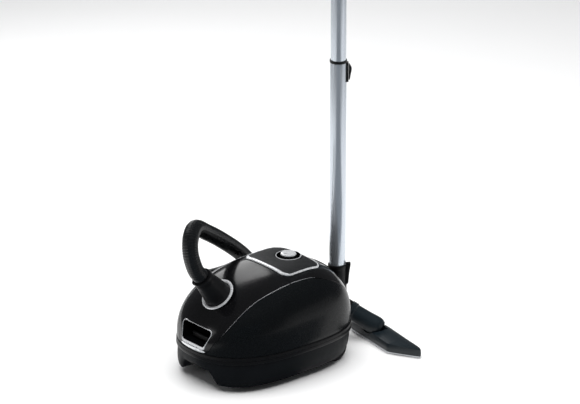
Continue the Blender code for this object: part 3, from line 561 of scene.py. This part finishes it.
w_lid = (LID_END - MID_Y) / HALF_L
w_cov = (LID_END + GAP - MID_Y) / HALF_L
lid_ws = [(-1.0 + (w_lid - 0.012 + 1.0) * (k / 84.0) ** 1.9, 0.0) for k in range(85)] + [(w_lid - 0.006, 0.0), (w_lid - 0.002, 0.4), (w_lid, 1.1)]
lid = shell("lid_shell", lid_ws, lid_arc, "gloss_shell", "lid", replaces=["front_lid"], slot="gloss_black")
cov_ws = [(w_cov, 1.1), (w_cov + 0.002, 0.4), (w_cov + 0.006, 0.0)] + [(1.0 - (1.0 - w_cov - 0.012) * (1.0 - k / 64.0) ** 1.9, 0.0) for k in range(65)]
cover = shell("cover_shell", cov_ws, lid_arc, "gloss_shell", "chassis", replaces=["rear_cover"], slot="gloss_black")


def window_outline(inset, n=14):
    zb, zt = 93.0 + inset * 2.0, 139.0 - inset
    hb, ht = 40.0 - inset, 50.0 - inset
    r = max(3.0, 9.0 - inset)
    out = []
    for qx, zc, hw, a0 in ((1, zt - r, ht, 0), (-1, zt - r, ht, 90), (-1, zb + r, hb, 180), (1, zb + r, hb, 270)):
        for k in range(n):
            a = math.radians(a0 + 90.0 * k / (n - 1))
            out.append((qx * (hw - r) + r * math.cos(a), zc + r * math.sin(a)))
    return out


wv, wf = rings_mesh([[(x, y, z) for x, z in window_outline(-0.2)] for y in (-235.0, -172.0)])
win_cut = make("cutter", wv, wf, [], None)
carve(lid, [win_cut, cyl(INLET - N_IN * 45, INLET + N_IN * 45, 38.8, 96)], smooth=55.0)
carve(cover, [cyl((DIAL[0], DIAL[1], 190), (DIAL[0], DIAL[1], 250), DIAL_R + 0.2, 96), block((-46, 118, 150), (46, 158, 250)), block((-17.3, 160, 121.7), (17.3, 200, 150.3))], smooth=55.0)


def side_shell(name, sign, node):
    ws = []
    for k in range(97):
        f = 0.5 - 0.5 * math.cos(math.pi * k / 96)
        ws.append((-0.978 + (0.975 + 0.978) * f, 0.0))

    def arc(w):
        s = seam_at(w) - LIFT
        return (0.0, s) if sign > 0 else (180.0 - s, 180.0)
    return shell(name, ws, arc, "gloss_side", "chassis", replaces=[node], slot="satin_black")


side_shell("side_shell_left", 1, "side_panel_left")
side_shell("side_shell_right", -1, "side_panel_right")

# painted highlight: a bright silver strip along the lid's long edges stands in for the reflection on the rounded seam
# edge, fading out behind the panel's front
for nm, sg in (("painted_highlight_strip_left", 1), ("painted_highlight_strip_right", -1)):
    rings = []
    for k in range(121):
        y = -186.0 + (-7.0 + 186.0) * k / 120
        w = (y - MID_Y) / HALF_L
        s = seam_at(w) + LIFT
        grow = min(1.0, k / 10.0 + 0.15)
        d = 0.85 * grow
        ring = [dome(w, s + a * d, t) for a, t in ((0.0, 0.9), (0.08, 0.1), (0.3, -0.35), (0.7, -0.35), (0.95, 0.05), (0.9, 0.9))]
        if sg < 0:
            ring = [(-x, yy, z) for x, yy, z in ring]
        rings.append(ring)
    ring_piece(nm, rings, "seam_silver", "lid", slot="silver_trim", smooth=60.0)

# the same painted highlight strip carried on over the rear cover, narrowing until it runs out
for nm, sg in (("painted_highlight_tail_left", 1), ("painted_highlight_tail_right", -1)):
    rings = []
    for k in range(61):
        y = LID_END + 2.0 + 64.0 * k / 60
        w = (y - MID_Y) / HALF_L
        s = seam_at(w) + LIFT
        d = 0.85 * (1.0 - 0.75 * (k / 60.0) ** 1.5)
        rise = 0.35 * (1.0 - 0.9 * (k / 60.0) ** 2)
        ring = [dome(w, s + a * d, t) for a, t in ((0.0, 0.9), (0.08, 0.1), (0.3, -rise), (0.7, -rise), (0.95, 0.05), (0.9, 0.9))]
        if sg < 0:
            ring = [(-x, yy, z) for x, yy, z in ring]
        rings.append(ring)
    ring_piece(nm, rings, "seam_silver", "chassis", slot="silver_trim", smooth=60.0)

# ------------------------------------------------------------------ rim band and base
prof = [(0.2, 68.4), (1.0, 68.9), (1.3, 70.5), (1.5, 73.0), (1.5, 75.6), (0.7, 76.1), (0.7, 76.9), (1.4, 77.4), (1.3, 80.0), (1.0, 82.6), (0.3, 84.2), (-0.6, 84.7), (-6.0, 84.7), (-6.0, 68.4)]
ring_piece("rim_band", [superplan(HALF_W + d, HALF_L + d, 200, z) for d, z in prof], "satin", "chassis", closed=True, replaces=["bumper_strip"], slot="satin_black", smooth=50.0)


def chin(x, y):
    k = min(1.0, max(0.0, (CHIN_START - y) / 34.0))
    m = min(1.0, max(0.0, (CHIN_HALF - abs(x)) / 26.0))
    return CHIN_RISE * k * k * (3 - 2 * k) * m * m * (3 - 2 * m)


def tub_ring(depth, t):
    a = depth * math.pi / 2
    inset = 15.0 * (1.0 - max(0.0, math.cos(a)) ** 0.75) + 3.0 * depth
    drop = math.sin(a) ** 0.85
    out = []
    for x, y, _ in superplan(HALF_W - 2.5 - inset - t, HALF_L - 2.5 - inset - t, 160, 0.0, nose=PLAN_EXP_F + 0.7 * depth):
        low = TUB_Z + t + chin(x, y)
        out.append((x, y, BUMPER_LO - GAP - (BUMPER_LO - GAP - low) * drop))
    return out


def tub_floor(f, t):
    out = []
    for x, y, z in tub_ring(1.0, t):
        yy = MID_Y + (y - MID_Y) * f
        out.append((x * f, yy, TUB_Z + t + chin(x * f, yy)))
    return out


depths = [1.0, 0.985, 0.96, 0.92, 0.86, 0.78, 0.68, 0.56, 0.42, 0.28, 0.14, 0.0]
tub = ring_piece("base_shell", [tub_floor(f, 0.0) for f in (0.3, 0.5, 0.7, 0.88)] + [tub_ring(d, 0.0) for d in depths]
                 + [tub_ring(d, SHELL) for d in reversed(depths)] + [tub_floor(f, SHELL) for f in (0.88, 0.7, 0.5, 0.3)], "graphite", "chassis",
                 replaces=["base_tub"], slot="matte_graphite", smooth=45.0)
carve(tub, [block((x - 13, 84, -5), (x + 13, 152, 45)) for x in (98, -98)] + [cyl((0, -115, -5), (0, -115, 40), 27.0, 64), cyl((-60, 150, 42), (-60, 210, 42), 9.2, 32)], smooth=45.0)

# ------------------------------------------------------------------ grip window


def win_ring(inset, dy):
    return [(x, front_y(x, z) + dy, z) for x, z in window_outline(inset)]


brings = [win_ring(i, d) for i, d in ((-0.1, 3.0), (-0.1, -0.2), (0.3, -0.9), (0.9, -1.2), (1.3, -0.9), (1.5, -0.2), (2.7, 0.0), (3.0, 0.4), (3.0, 3.0))]
bv, bf = rings_mesh(brings, closed=True)
nb = len(brings[0])
bidx = []
for i in range(len(brings)):
    for k in range(nb):
        low = brings[i][k][2] < 101.0 and abs(brings[i][k][0]) < 39.0
        bidx.append(0 if (1 <= i <= 4 or (low and i <= 6)) else 1)
make("window_bezel", bv, bf, ["silver", "dark_inner"], "lid", index=bidx, replaces=["window_frame"], slot="silver_trim", smooth=50.0)

# bright lip under the grip window, thickest in the middle
lrings = []
for k in range(81):
    x = -41.0 + 82.0 * k / 80
    f = max(0.0, 1.0 - (abs(x) / 41.0) ** 4) ** 0.5
    z0, z1 = 89.6 - 3.2 * f - 0.3, 89.6 + 3.0 * f + 0.1
    zs = [z0 + (z1 - z0) * q for q in (0.0, 0.12, 0.35, 0.65, 0.88, 1.0)]
    proud = (0.1, 0.9, 1.3, 1.3, 1.25, 0.9)
    lrings.append([(x, front_y(x, z) - p * (0.2 + 0.8 * f), z) for z, p in zip(zs, proud)] + [(x, front_y(x, zs[-1]) + 0.7, zs[-1]), (x, front_y(x, zs[0]) + 0.7, zs[0])])
ring_piece("window_lip", lrings, "silver", "lid", slot="silver_trim", smooth=60.0)

# ------------------------------------------------------------------ inlet ring and cuff
lathe("inlet_ring", [(39.4, 2.4), (39.0, -16.0), (24.0, -16.0), (24.0, -34.0), (20.5, -34.0), (20.5, -4.0), (31.6, -4.0), (31.8, 2.2), (34.5, 3.6), (37.6, 3.7)],
      INLET, N_IN, ["silver", "dark_inner"], "lid", n=112, r=0.8, split=lambda r, h: 1 if (r < 32.3 or h < -2) else 0, replaces=["inlet_port"], slot="silver_trim", smooth=50.0)


def knurl_w(rad, h, a):
    if not 8.0 < h < 56.0 or rad < 22.0:
        return 0.0
    k = min(1.0, (h - 8.0) / 3.0, (56.0 - h) / 3.0)
    return 0.5 * k * max(-0.4, math.sin(60 * a)) * max(0.0, math.sin(math.pi * (h - 8.0) / 2.4)) ** 0.5


cuff_prof = [(23.1, CUFF_LEN), (23.7, CUFF_LEN - 2.5), (23.7, CUFF_LEN - 9.0), (23.2, CUFF_LEN - 11.0)]
for k in range(81):
    h = 57.0 - 50.0 * k / 80
    cuff_prof.append((23.4 + (57.0 - h) * 0.14 * (1 if h > 34 else 1.0), h))
cuff_prof += [(30.7, 5.6), (31.1, 3.0), (31.1, -3.6), (20.0, -3.6), (20.0, -28.0), (17.0, -28.0), (17.0, CUFF_LEN)]
cuff = lathe("cuff_body", cuff_prof, INLET, N_IN, "satin", "hose_swivel", n=240, r=0.0, wobble=knurl_w, replaces=["hose_cuff"], slot="satin_black", smooth=60.0)
side = Vector((-0.643, -0.766, 0.0))
side = (side - N_IN * side.dot(N_IN)).normalized()
btn_at = INLET + N_IN * (CUFF_LEN - 10) + side * 23.2
carve(cuff, [cyl(btn_at - side * 3.0, btn_at + side * 8, 5.8, 40)], smooth=60.0)
lathe("cuff_key", [(0.0, 4.4), (2.2, 4.5), (4.4, 4.1), (5.3, 2.9), (5.5, 0.1), (0.0, 0.1)], btn_at, side, "rubber", "cuff_button", n=40, loop=False, r=0.4, replaces=["cuff_button"], slot="rubber_black")

# ------------------------------------------------------------------ hose
HDIR = Vector((0.766, -0.643, 0.0))
HOSE_KEYS = [Vector(p) for p in (INLET + N_IN * (CUFF_LEN + 0.5), INLET + N_IN * (CUFF_LEN + 22), (-3.0, -208.0, 308.0), (-14.0, -200.0, 336.0), (-42.0, -166.0, 346.0),
             (-88.0, -94.0, 304.0), (-128.0, -14.0, 249.0), (-162.0, 62.0, 190.0), (-188.0, 135.0, 118.0), (-201.0, 200.0, 56.0),
             (-204.0, 262.0, 22.0), (-199.0, 302.7, 18.9), (-203.4, 345.6, 18.9), (-230.7, 381.6, 18.9), (-276.9, 398.1, 18.9), (-331.9, 394.7, 18.9), (-381.6, 369.8, 18.9), (-408.9, 324.8, 18.9), (-415.2, 275.3, 18.9), (-412.5, 228.7, 18.9), (-411.1, 196.1, 19.6), (-409.9, 174.2, 21.3), (-403.7, 159.9, 23.2), (-391.3, 148.2, 23.6))]
fine = smooth_path([HOSE_KEYS[0], HOSE_KEYS[0] + N_IN * 8] + HOSE_KEYS[1:-1] + [HOSE_KEYS[-1] - HDIR * 8, HOSE_KEYS[-1]], 1.25)
hose_len = sum((b - a).length for a, b in zip(fine, fine[1:]))


def rib(s):
    edge = min(1.0, s / 4.0, max(0.0, hose_len - s) / 4.0)
    return HOSE_R - 1.25 * (0.5 - 0.5 * math.cos(2 * math.pi * s / 5.0)) ** 1.5 * edge - (1 - edge) * 0.6


hv, hf = rings_mesh(sweep(fine, rib, 56, flute=0.45))
hose = make("ribbed_hose", hv, hf, "hose_skin", None, smooth=80.0)
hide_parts("suction_hose")
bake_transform(hose)

# ------------------------------------------------------------------ handle at the hose's free end
H0 = HOSE_KEYS[-1] + HDIR * 0.5
lathe("handle_collar", [(20.5, 62.0), (21.4, 56.0), (22.5, 50.0), (22.6, 38.0), (21.9, 37.0), (21.9, 34.0), (22.8, 33.0), (23.2, 0.0), (17.2, 0.0), (17.2, 62.0)], H0, HDIR, "satin", "chassis", n=72, r=0.5,
      replaces=["handle_cuff"], slot="satin_black")
H1 = H0 + HDIR * (62.0 + GAP)
up = Vector((0, 0, 1))
gkeys = [H1, H1 + HDIR * 26 + up * 0.6, H1 + HDIR * 63 + up * 8, H1 + HDIR * 103 + up * 14, H1 + HDIR * 142 + up * 12.5, H1 + HDIR * 176 + up * 7]
gcoarse = smooth_path(gkeys, 16.0)
gpts = smooth_path(gkeys, 2.0)
glen = sum((b - a).length for a, b in zip(gpts, gpts[1:]))


def grip_r(s):
    e = min(1.0, s / 3.0, max(0.0, glen - s) / 3.0)
    groove = 0.5 if (52 < s < 142 and int((s - 52) / 3.0) % 3 == 0) else 0.0
    return 16.4 + 1.1 * e ** 0.5 - groove


ring_piece("handle_grip", sweep(gpts, grip_r, 48), "satin", "chassis", replaces=["hose_handle"], slot="satin_black", smooth=50.0)
gend = (gcoarse[-1] - gcoarse[-2]).normalized()
H2 = gcoarse[-1] + gend * GAP
lathe("handle_tip", [(17.0, 0.0), (15.4, 0.0), (15.4, 46.0), (16.6, 46.0)], H2, gend, "satin", "chassis", n=64, r=0.4, replaces=["handle_spigot"], slot="satin_black")
cad("suction_slider", "chrome")

# ------------------------------------------------------------------ control island
px, py, phw, phl, pr = PANEL


def rounded(cx, cy, hw, hl, r, n=16, along=20):
    out = []
    for qx, qy, a0 in ((1, 1, 0), (-1, 1, 90), (-1, -1, 180), (1, -1, 270)):
        for k in range(n):
            a = math.radians(a0 + 90.0 * k / (n - 1))
            out.append((cx + qx * (hw - r) + r * math.cos(a), cy + qy * (hl - r) + r * math.sin(a)))
        p = Vector(out[-1])
        q = p + (Vector((-2.0 * (hw - r) * qx, 0.0)) if a0 in (0, 180) else Vector((0.0, -2.0 * (hl - r) * qy)))
        for k in range(1, along):
            m = p.lerp(q, k / along)
            out.append((m.x, m.y))
    return out


def reach(c, q):
    lo, hi = 0.0, 160.0
    for _ in range(36):
        m = (lo + hi) / 2
        dx = abs(DIAL[0] + c * m - px) - (phw - pr)
        dy = abs(DIAL[1] + q * m - py) - (phl - pr)
        inside = math.hypot(max(dx, 0.0), max(dy, 0.0)) + min(max(dx, dy), 0.0) < pr
        lo, hi = (m, hi) if inside else (lo, m)
    return lo


NA = 168
angs = [2 * math.pi * (k + 0.5) / NA for k in range(NA)]
far = [reach(math.cos(a), math.sin(a)) for a in angs]


def panel_at(f, dz):
    out = []
    for a, R in zip(angs, far):
        r0 = DIAL_R + 0.4
        m = r0 + (R - r0) * f
        x, y = DIAL[0] + math.cos(a) * m, DIAL[1] + math.sin(a) * m
        out.append((x, y, dome_z(x, y) + dz))
    return out


frings = [(0.0, 1.9), (0.012, 2.4), (0.04, 2.6)] + [(0.04 + 0.93 * k / 9, 2.6) for k in range(1, 10)] + [(1.0, 2.3), (1.0, 0.4), (0.5, 0.4), (0.0, 0.4)]
ring_piece("panel_face", [panel_at(f, d) for f, d in frings], "panel_mesh", "chassis", closed=True, replaces=["control_panel"], slot="satin_black", smooth=50.0)


def trim_ring(grow, dz, front=0.0):
    pts = []
    for x, y in rounded(px, py, phw + grow, phl + grow, pr + grow):
        k = min(1.0, max(0.0, (12.0 - y) / 10.0))
        k = k * k * (3 - 2 * k)
        yy = y + front * k
        pts.append((x, yy, dome_z(x, yy) + dz))
    return pts


ring_piece("panel_rim", [trim_ring(-0.2, 2.4, 5.0), trim_ring(0.1, 3.0, 5.0), trim_ring(0.8, 3.3, 4.0), trim_ring(2.0, 3.2, 0.4), trim_ring(2.7, 2.5), trim_ring(2.7, 0.4), trim_ring(-0.2, 0.4, 0.0)], "silver", "chassis", closed=True,
           replaces=["panel_trim"], slot="silver_trim", smooth=60.0)
lathe("dial_well", [(DIAL_R, 234.6), (DIAL_R, 213.0), (8.0, 213.0), (8.0, 216.0), (25.6, 216.0), (26.4, 226.0), (27.2, 235.2), (28.2, 235.8)],
      (DIAL[0], DIAL[1], 0), (0, 0, 1), ["dark_inner", "silver"], "chassis", n=112, r=0.5, split=lambda r, h: 1 if (h > 234.4 and r > 26.9) else 0, replaces=["dial_bezel"], slot="satin_black")


def flutes(rad, h, a):
    return 0.35 * max(-0.6, math.sin(36 * a)) if (rad > 16.8 and 221.0 < h < 237.2) else 0.0


lathe("dial_knob", [(0.0, 241.4), (9.0, 241.35), (14.6, 241.1), (16.6, 240.4), (17.5, 239.1), (17.6, 238.0), (18.0, 237.4), (18.0, 228.0), (17.8, 220.4), (5.3, 220.0), (5.3, 226.3), (0.0, 226.3)],
      (DIAL[0], DIAL[1], 0), (0, 0, 1), ["satin", "silver"], "power_dial", n=216, loop=False, r=0.5, split=lambda r, h: 1 if h > 237.9 else 0, wobble=flutes, replaces=["power_dial"], slot="silver_trim", smooth=50.0)
ring_piece("dial_mark", [[(x, y, z) for x, y in ((-0.7, 55.5), (0.7, 55.5), (0.7, 61.5), (-0.7, 61.5))] for z in (240.6, 241.5)], "dark_inner", "power_dial", slot="satin_black")

# ------------------------------------------------------------------ wand
wx, wy = WAND
bd = Vector((0.643, 0.766, 0.0))
Z = (0, 0, 1)
lathe("wand_lower", [(18.5, 655.0), (18.5, 137.0), (17.6, 137.0), (17.6, 655.0)], (wx, wy, 0), Z, "tube_metal", "wand", n=112, r=0.25, seg=2, replaces=["lower_tube"], slot="wand_metal")
lathe("wand_upper", [(17.2, 896.0), (17.2, 425.0), (16.3, 425.0), (16.3, 896.0)], (wx, wy, 0), Z, "tube_metal", "upper_tube", n=112, r=0.25, seg=2, replaces=["upper_tube"], slot="wand_metal")
lathe("wand_collar", [(18.6, LOWER_TOP), (19.3, LOWER_TOP - 0.6), (19.3, 655.3), (17.6, 655.3), (17.6, LOWER_TOP)], (wx, wy, 0), Z, "satin", "wand", n=96, r=0.3, replaces=["tube_collar"], slot="satin_black")
lathe("wand_mouth", [(18.8, UPPER_TOP), (19.6, UPPER_TOP - 4), (19.6, 900.0), (18.4, 896.3), (16.3, 896.3), (16.3, UPPER_TOP)], (wx, wy, 0), Z, "satin", "upper_tube", n=96, r=0.5,
      replaces=["tube_end_sleeve"], slot="satin_black")


def side_strip(name, rows, mat, body, node, slot, n=18):
    """A key standing on the tube's side: rows of (height, inner reach, outer reach, half width)."""
    rings = []
    for z, r0, r1, hw in rows:
        ring = [(r0, -hw), (r0, hw)]
        for k in range(n + 1):
            a = math.pi / 2 - math.pi * k / n
            ring.append((r1 - 1.6 + 1.6 * math.cos(a) ** 0.6 if abs(math.cos(a)) > 1e-6 else r1 - 1.6, hw * math.sin(a)))
        rings.append([(wx + bd.x * p - bd.y * q, wy + bd.y * p + bd.x * q, z) for p, q in ring])
    return ring_piece(name, rings, mat, body, replaces=[node], slot=slot, smooth=50.0)


side_strip("lock_key", [(614.2, 22.95, 25.0, 4.4), (616.0, 22.95, 26.2, 4.8), (628.0, 22.95, 27.8, 5.0), (634.0, 22.95, 29.3, 5.0), (640.0, 22.95, 29.8, 4.9), (645.0, 22.95, 28.3, 4.8), (650.0, 22.95, 25.2, 4.4)],
           "rubber", "lock_button", "tube_lock_button", "satin_black")
cad("lock_saddle", "satin")
side_strip("socket_lever", [(128.2, 23.25, 25.2, 6.0), (136.0, 23.25, 25.8, 7.0), (150.0, 23.25, 26.9, 7.2), (162.0, 23.25, 28.6, 7.0), (170.0, 23.25, 29.8, 6.8), (173.5, 23.25, 29.9, 6.2), (175.0, 23.25, 29.0, 5.4)],
           "satin", "socket_release", "socket_release", "satin_black")

# guide cheeks either side of the lever
for nm, q0, q1 in (("lever_cheek_front", -9.6, -7.7), ("lever_cheek_back", 7.7, 9.6)):
    rows = []
    for z, r1 in ((126.0, 22.0), (129.0, 24.4), (150.0, 25.4), (166.0, 26.4), (171.5, 26.6), (172.6, 25.6)):
        rows.append([(wx + bd.x * p - bd.y * q, wy + bd.y * p + bd.x * q, z) for p, q in ((18.9, q0), (r1 - 0.5, q0), (r1, q0 + 0.5), (r1, q1 - 0.5), (r1 - 0.5, q1), (18.9, q1))])
    ring_piece(nm, rows, "satin", "wand", slot="satin_black", smooth=40.0)

ND = (HUMP - ELBOW).normalized()
NLEN = (HUMP - ELBOW).length


def fine_ribs(rad, h, a):
    return -0.25 * max(0.0, math.sin(40 * a)) if (rad > 20.5 and 104.0 < h < 158.0) else 0.0


sock_prof = [(0.0, SOCKET_TOP), (20.8, SOCKET_TOP), (21.6, SOCKET_TOP - 1), (21.6, SOCKET_TOP - 8), (20.9, SOCKET_TOP - 10), (20.9, 160.0), (20.9, 156.0), (20.9, 145.0), (20.9, 130.0), (21.2, 112.0),
             (21.4, 104.0), (22.4, 90.0), (22.4, 79.0), (21.0, 70.0), (16.0, 62.5), (9.0, 58.0), (0.0, 56.6)]
sock = lathe("elbow_shell", sock_prof, (wx, wy, 0), Z, ["satin"], "wand", n=160, loop=False, r=1.2, wobble=fine_ribs, replaces=["elbow_socket"], slot="satin_black", smooth=45.0)
carve(sock, [cyl(ELBOW, ELBOW + ND * 32, 20.5, 80)], op='UNION', smooth=45.0)
carve(sock, [cyl((wx, wy, 136.7), (wx, wy, 190), 18.7, 80), cyl((wx, wy, 79), (wx, wy, 150), 15.0, 48), cyl(ELBOW, ELBOW + ND * 60, 15.0, 48)], smooth=45.0)
neck_prof = [(22.2, 45.0), (22.2, 41.2), (21.3, 40.6), (21.3, 39.4), (22.2, 38.8), (22.2, 36.4), (21.3, 35.8), (21.3, 34.6), (22.2, 34.0), (22.2, 32.3), (15.4, 32.3), (15.4, NLEN + 6), (17.0, NLEN + 14), (20.8, NLEN + 7), (22.0, NLEN), (21.6, NLEN - 10),
             (20.6, NLEN - 24), (20.0, 60.0), (19.8, 46.5)]
lathe("neck_shell", neck_prof, ELBOW, ND, "nozzle_skin", "nozzle_neck", n=112, r=0.7, replaces=["nozzle_neck"], slot="matte_graphite")

# ------------------------------------------------------------------ floor nozzle


def noz(s, v, z):
    c, q = math.cos(NOZ_YAW), math.sin(NOZ_YAW)
    return Vector((s * c - v * q + NOZ[0], s * q + v * c + NOZ[1], z))


def noz_rear(s):
    k = max(0.0, (abs(s) - NOZ_REAR_HALF) / (NOZ_HALF - NOZ_REAR_HALF))
    return NOZ_REAR + (NOZ_FRONT - 9.0 - NOZ_REAR) * k ** 1.15


def noz_front(s):
    k = max(0.0, (abs(s) - 118.0) / 19.0)
    return NOZ_FRONT - 5.0 * k * k


def noz_top(s, f):
    return 18.5 + 11.5 * max(0.0, 1.0 - abs(s) / (NOZ_HALF + 1.0)) ** 0.5 * math.sin(math.pi * (0.15 + 0.7 * f))


def noz_block(s0, s1, v0, v1, z0, z1):
    v, f = rings_mesh([[noz(s0, v0, z), noz(s1, v0, z), noz(s1, v1, z), noz(s0, v1, z)] for z in (z0, z1)])
    return make("cutter", v, f, [], None)


rings = []
for k in range(97):
    s = NOZ_HALF * math.sin(math.pi * (k / 96 - 0.5))
    a, b = noz_rear(s), noz_front(s)
    ring = [noz(s, a + 0.8, 4.3), noz(s, a + 0.15, 5.2), noz(s, a, 8.0), noz(s, a, 13.0), noz(s, a + 0.15, 15.5)]
    for j in range(21):
        f = 0.05 + 0.9 * j / 20
        ring.append(noz(s, a + (b - a) * f, noz_top(s, f)))
    ring += [noz(s, b - 0.15, 15.5), noz(s, b, 13.0), noz(s, b, 8.0), noz(s, b - 0.15, 5.2), noz(s, b - 0.8, 4.3)]
    rings.append(ring)
nz = ring_piece("nozzle_shell", rings, "nozzle_skin", "nozzle", replaces=["nozzle_body"], slot="matte_graphite", smooth=45.0)
sph = lathe("cutter", [(24.0 * math.cos(math.pi / 2 - k * math.pi / 24), 24.0 * math.sin(math.pi / 2 - k * math.pi / 24)) for k in range(25)], HUMP, Z, [], None, n=64, loop=False, r=0.0)
carve(nz, [sph, cyl(HUMP + ND * 2, HUMP - ND * 80, 24.6, 64)], smooth=45.0)
carve(nz, [noz_block(-16, 16, -14, 14, 2, 50), noz_block(-101, 101, 15.6, 20.4, 0, 12.6), noz_block(-69.4, -40.6, -8.6, 14.4, 15.6, 60)], smooth=45.0)
# bumper lip along the nozzle's front edge
lip = []
for k in range(81):
    s = -132.0 + 264.0 * k / 80
    b = noz_front(s)
    lip.append([noz(s, b + d, z) for d, z in ((-0.6, 6.2), (0.7, 6.6), (1.1, 8.4), (1.1, 10.2), (0.7, 12.0), (-0.6, 12.4))])
ring_piece("nozzle_lip", lip, "rubber", "nozzle", slot="rubber_black", smooth=60.0)

# ------------------------------------------------------------------ wheels


def tread(rad, h, a):
    return -0.5 * max(0.0, math.sin(48 * a)) if rad > 29.0 and abs(h) < 6.5 else 0.0


for nm, body, x in (("wheel_left", "rear_wheel_left", 98), ("wheel_right", "rear_wheel_right", -98)):
    lathe(nm, [(28.0, 10.0), (30.0, 8.0), (30.0, 6.4), (30.0, 0.0), (30.0, -6.4), (30.0, -8.0), (28.0, -10.0), (22.0, -10.0), (20.5, -7.5), (9.0, -7.5), (8.0, -10.0), (4.4, -10.0), (4.4, 10.0), (8.0, 10.0), (9.0, 7.5), (20.5, 7.5), (22.0, 10.0)],
          (x, 118, 30), (1, 0, 0), ["rubber", "graphite"], body, n=192, r=0.6, wobble=tread, split=lambda r, h: 1 if r < 21.5 else 0, replaces=[body], slot="rubber_black")
lathe("castor_tyre", [(12.5, 6.5), (14.0, 5.0), (14.0, -5.0), (12.5, -6.5), (8.0, -6.5), (7.0, -5.0), (3.6, -5.0), (2.3, -6.5), (2.3, 6.5), (3.6, 5.0), (7.0, 5.0), (8.0, 6.5)], (0, -109, 14), (1, 0, 0), "rubber", "castor_wheel", n=72, r=0.5,
      replaces=["castor_wheel"], slot="rubber_black")

# ------------------------------------------------------------------ finishes of the solids that are shown as they are
for node, m in {"grip_recess": "dark_inner", "lid_latch": "satin", "bag_holder": "inner_grey", "dial_carrier": "inner_grey", "control_board": "board", "exhaust_grille": "satin",
                "exhaust_filter": "filter_fleece", "motor_bulkhead": "inner_grey", "motor_filter": "filter_fleece", "motor_housing": "inner_grey", "motor_can": "cast_metal", "fan_impeller": "inner_grey",
                "drum_spindle": "steel", "cord_drum": "inner_grey", "dust_bag": "bag_fleece", "cable_outlet": "rubber", "rear_axle": "steel", "axle_cradle": "graphite", "castor_socket": "graphite",
                "castor_fork": "satin", "castor_axle": "steel", "base_screw_1": "steel", "base_screw_2": "steel", "parking_bracket": "graphite", "parking_hook": "satin", "sole_plate": "steel",
                "brush_strip": "bristle", "nozzle_pedal": "steel"}.items():
    cad(node, m)

# ------------------------------------------------------------------ floor, light, camera
floor_mat, fnt, fb = new_mat("floor_pale", (0.93, 0.93, 0.93), 0.85, 0.0, 0.1)
tint(fnt, noise(fnt, coords(fnt), 3.0), (0.92, 0.92, 0.92), (0.94, 0.94, 0.94), fb.inputs["Base Color"])
fl = make("floor", [(-9, -9, -0.0006), (9, -9, -0.0006), (9, 9, -0.0006), (-9, 9, -0.0006)], [(0, 1, 2, 3)], [], None, world=True)
fl.data.materials.append(floor_mat)
fl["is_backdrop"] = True

flag_mat, gnt, gb = new_mat("flag_cloth", (0.10, 0.12, 0.14), 0.9, 0.0, 0.0)
tint(gnt, noise(gnt, coords(gnt), 4.0), (0.09, 0.11, 0.13), (0.11, 0.13, 0.15), gb.inputs["Base Color"])
fwd, rgt = Vector((0.766, -0.643, 0.0)), Vector((0.643, 0.766, 0.0))
mid = W((-6, 216, 0)) + fwd * 1.15
corners = [mid + fwd * f + rgt * r + Vector((0, 0, z)) for r, f, z in ((-0.5, -0.9, 0.002), (0.62, -0.9, 0.002), (1.5, 1.6, 0.002), (-1.3, 1.6, 0.002), (1.5, 1.6, 2.0), (-1.3, 1.6, 2.0))]
fg = make("studio_flag", corners, [(0, 1, 2, 3), (3, 2, 4, 5)], [], None, world=True)
fg.data.materials.append(flag_mat)
fg.visible_camera = fg.visible_diffuse = fg.visible_shadow = fg.visible_transmission = False
fg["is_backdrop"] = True

aim = Vector((0.05, 0.0, 0.25))


def lamp(name, at, size, size_y, power, colour=(1, 1, 1), glossy=True, target=aim):
    ld = bpy.data.lights.new(name, 'AREA')
    ld.shape = 'RECTANGLE'
    ld.size, ld.size_y = size, size_y
    ld.energy = power
    ld.color = colour
    o = bpy.data.objects.new(name, ld)
    bpy.context.scene.collection.objects.link(o)
    o.location = at
    o.rotation_mode = 'QUATERNION'
    o.rotation_quaternion = (Vector(target) - Vector(at)).to_track_quat('-Z', 'Y')
    o.visible_camera = False
    o.visible_glossy = glossy
    return o


lamp("overhead", (0.1, 0.0, 3.2), 4.0, 4.0, 190.0, glossy=False)
lamp("softbox_behind", (-1.75, 0.65, 1.3), 0.9, 1.1, 8.0)
lamp("softbox_side", (1.9, 1.4, 0.3), 1.6, 0.5, 1.0)
lamp("softbox_front", (-0.9, -2.0, 0.9), 0.8, 0.7, 3.0)

world = bpy.data.worlds.new("studio")
bpy.context.scene.world = world
world.use_nodes = True
bg = world.node_tree.nodes["Background"]
bg.inputs[0].default_value = (0.95, 0.97, 1.0, 1.0)
bg.inputs[1].default_value = 0.12
bpy.context.scene.view_settings.view_transform = 'Standard'
bpy.context.scene.view_settings.look = 'None'

el, az = math.radians(21.8), math.radians(50.0)
view = Vector((math.sin(az) * math.cos(el), -math.cos(az) * math.cos(el), math.sin(el)))
look = W((35.2, 42.0, 379.1))
DIST, PX = 9.0, 0.0022
cd = bpy.data.cameras.new("camera")
cam = bpy.data.objects.new("camera", cd)
bpy.context.scene.collection.objects.link(cam)
cam.location = look + view * DIST
cam.rotation_mode = 'QUATERNION'
cam.rotation_quaternion = (-view).to_track_quat('-Z', 'Y')
cd.sensor_width = 36.0
cd.lens = 36.0 * DIST / (580 * PX)
cd.clip_end = 60.0
bpy.context.scene.camera = cam


def plain(b):
    return [[float(c) for c in p] if hasattr(p, "__len__") else float(p) for p in b]


{"cad": plain(cad_bounds), "visual": plain(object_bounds())}
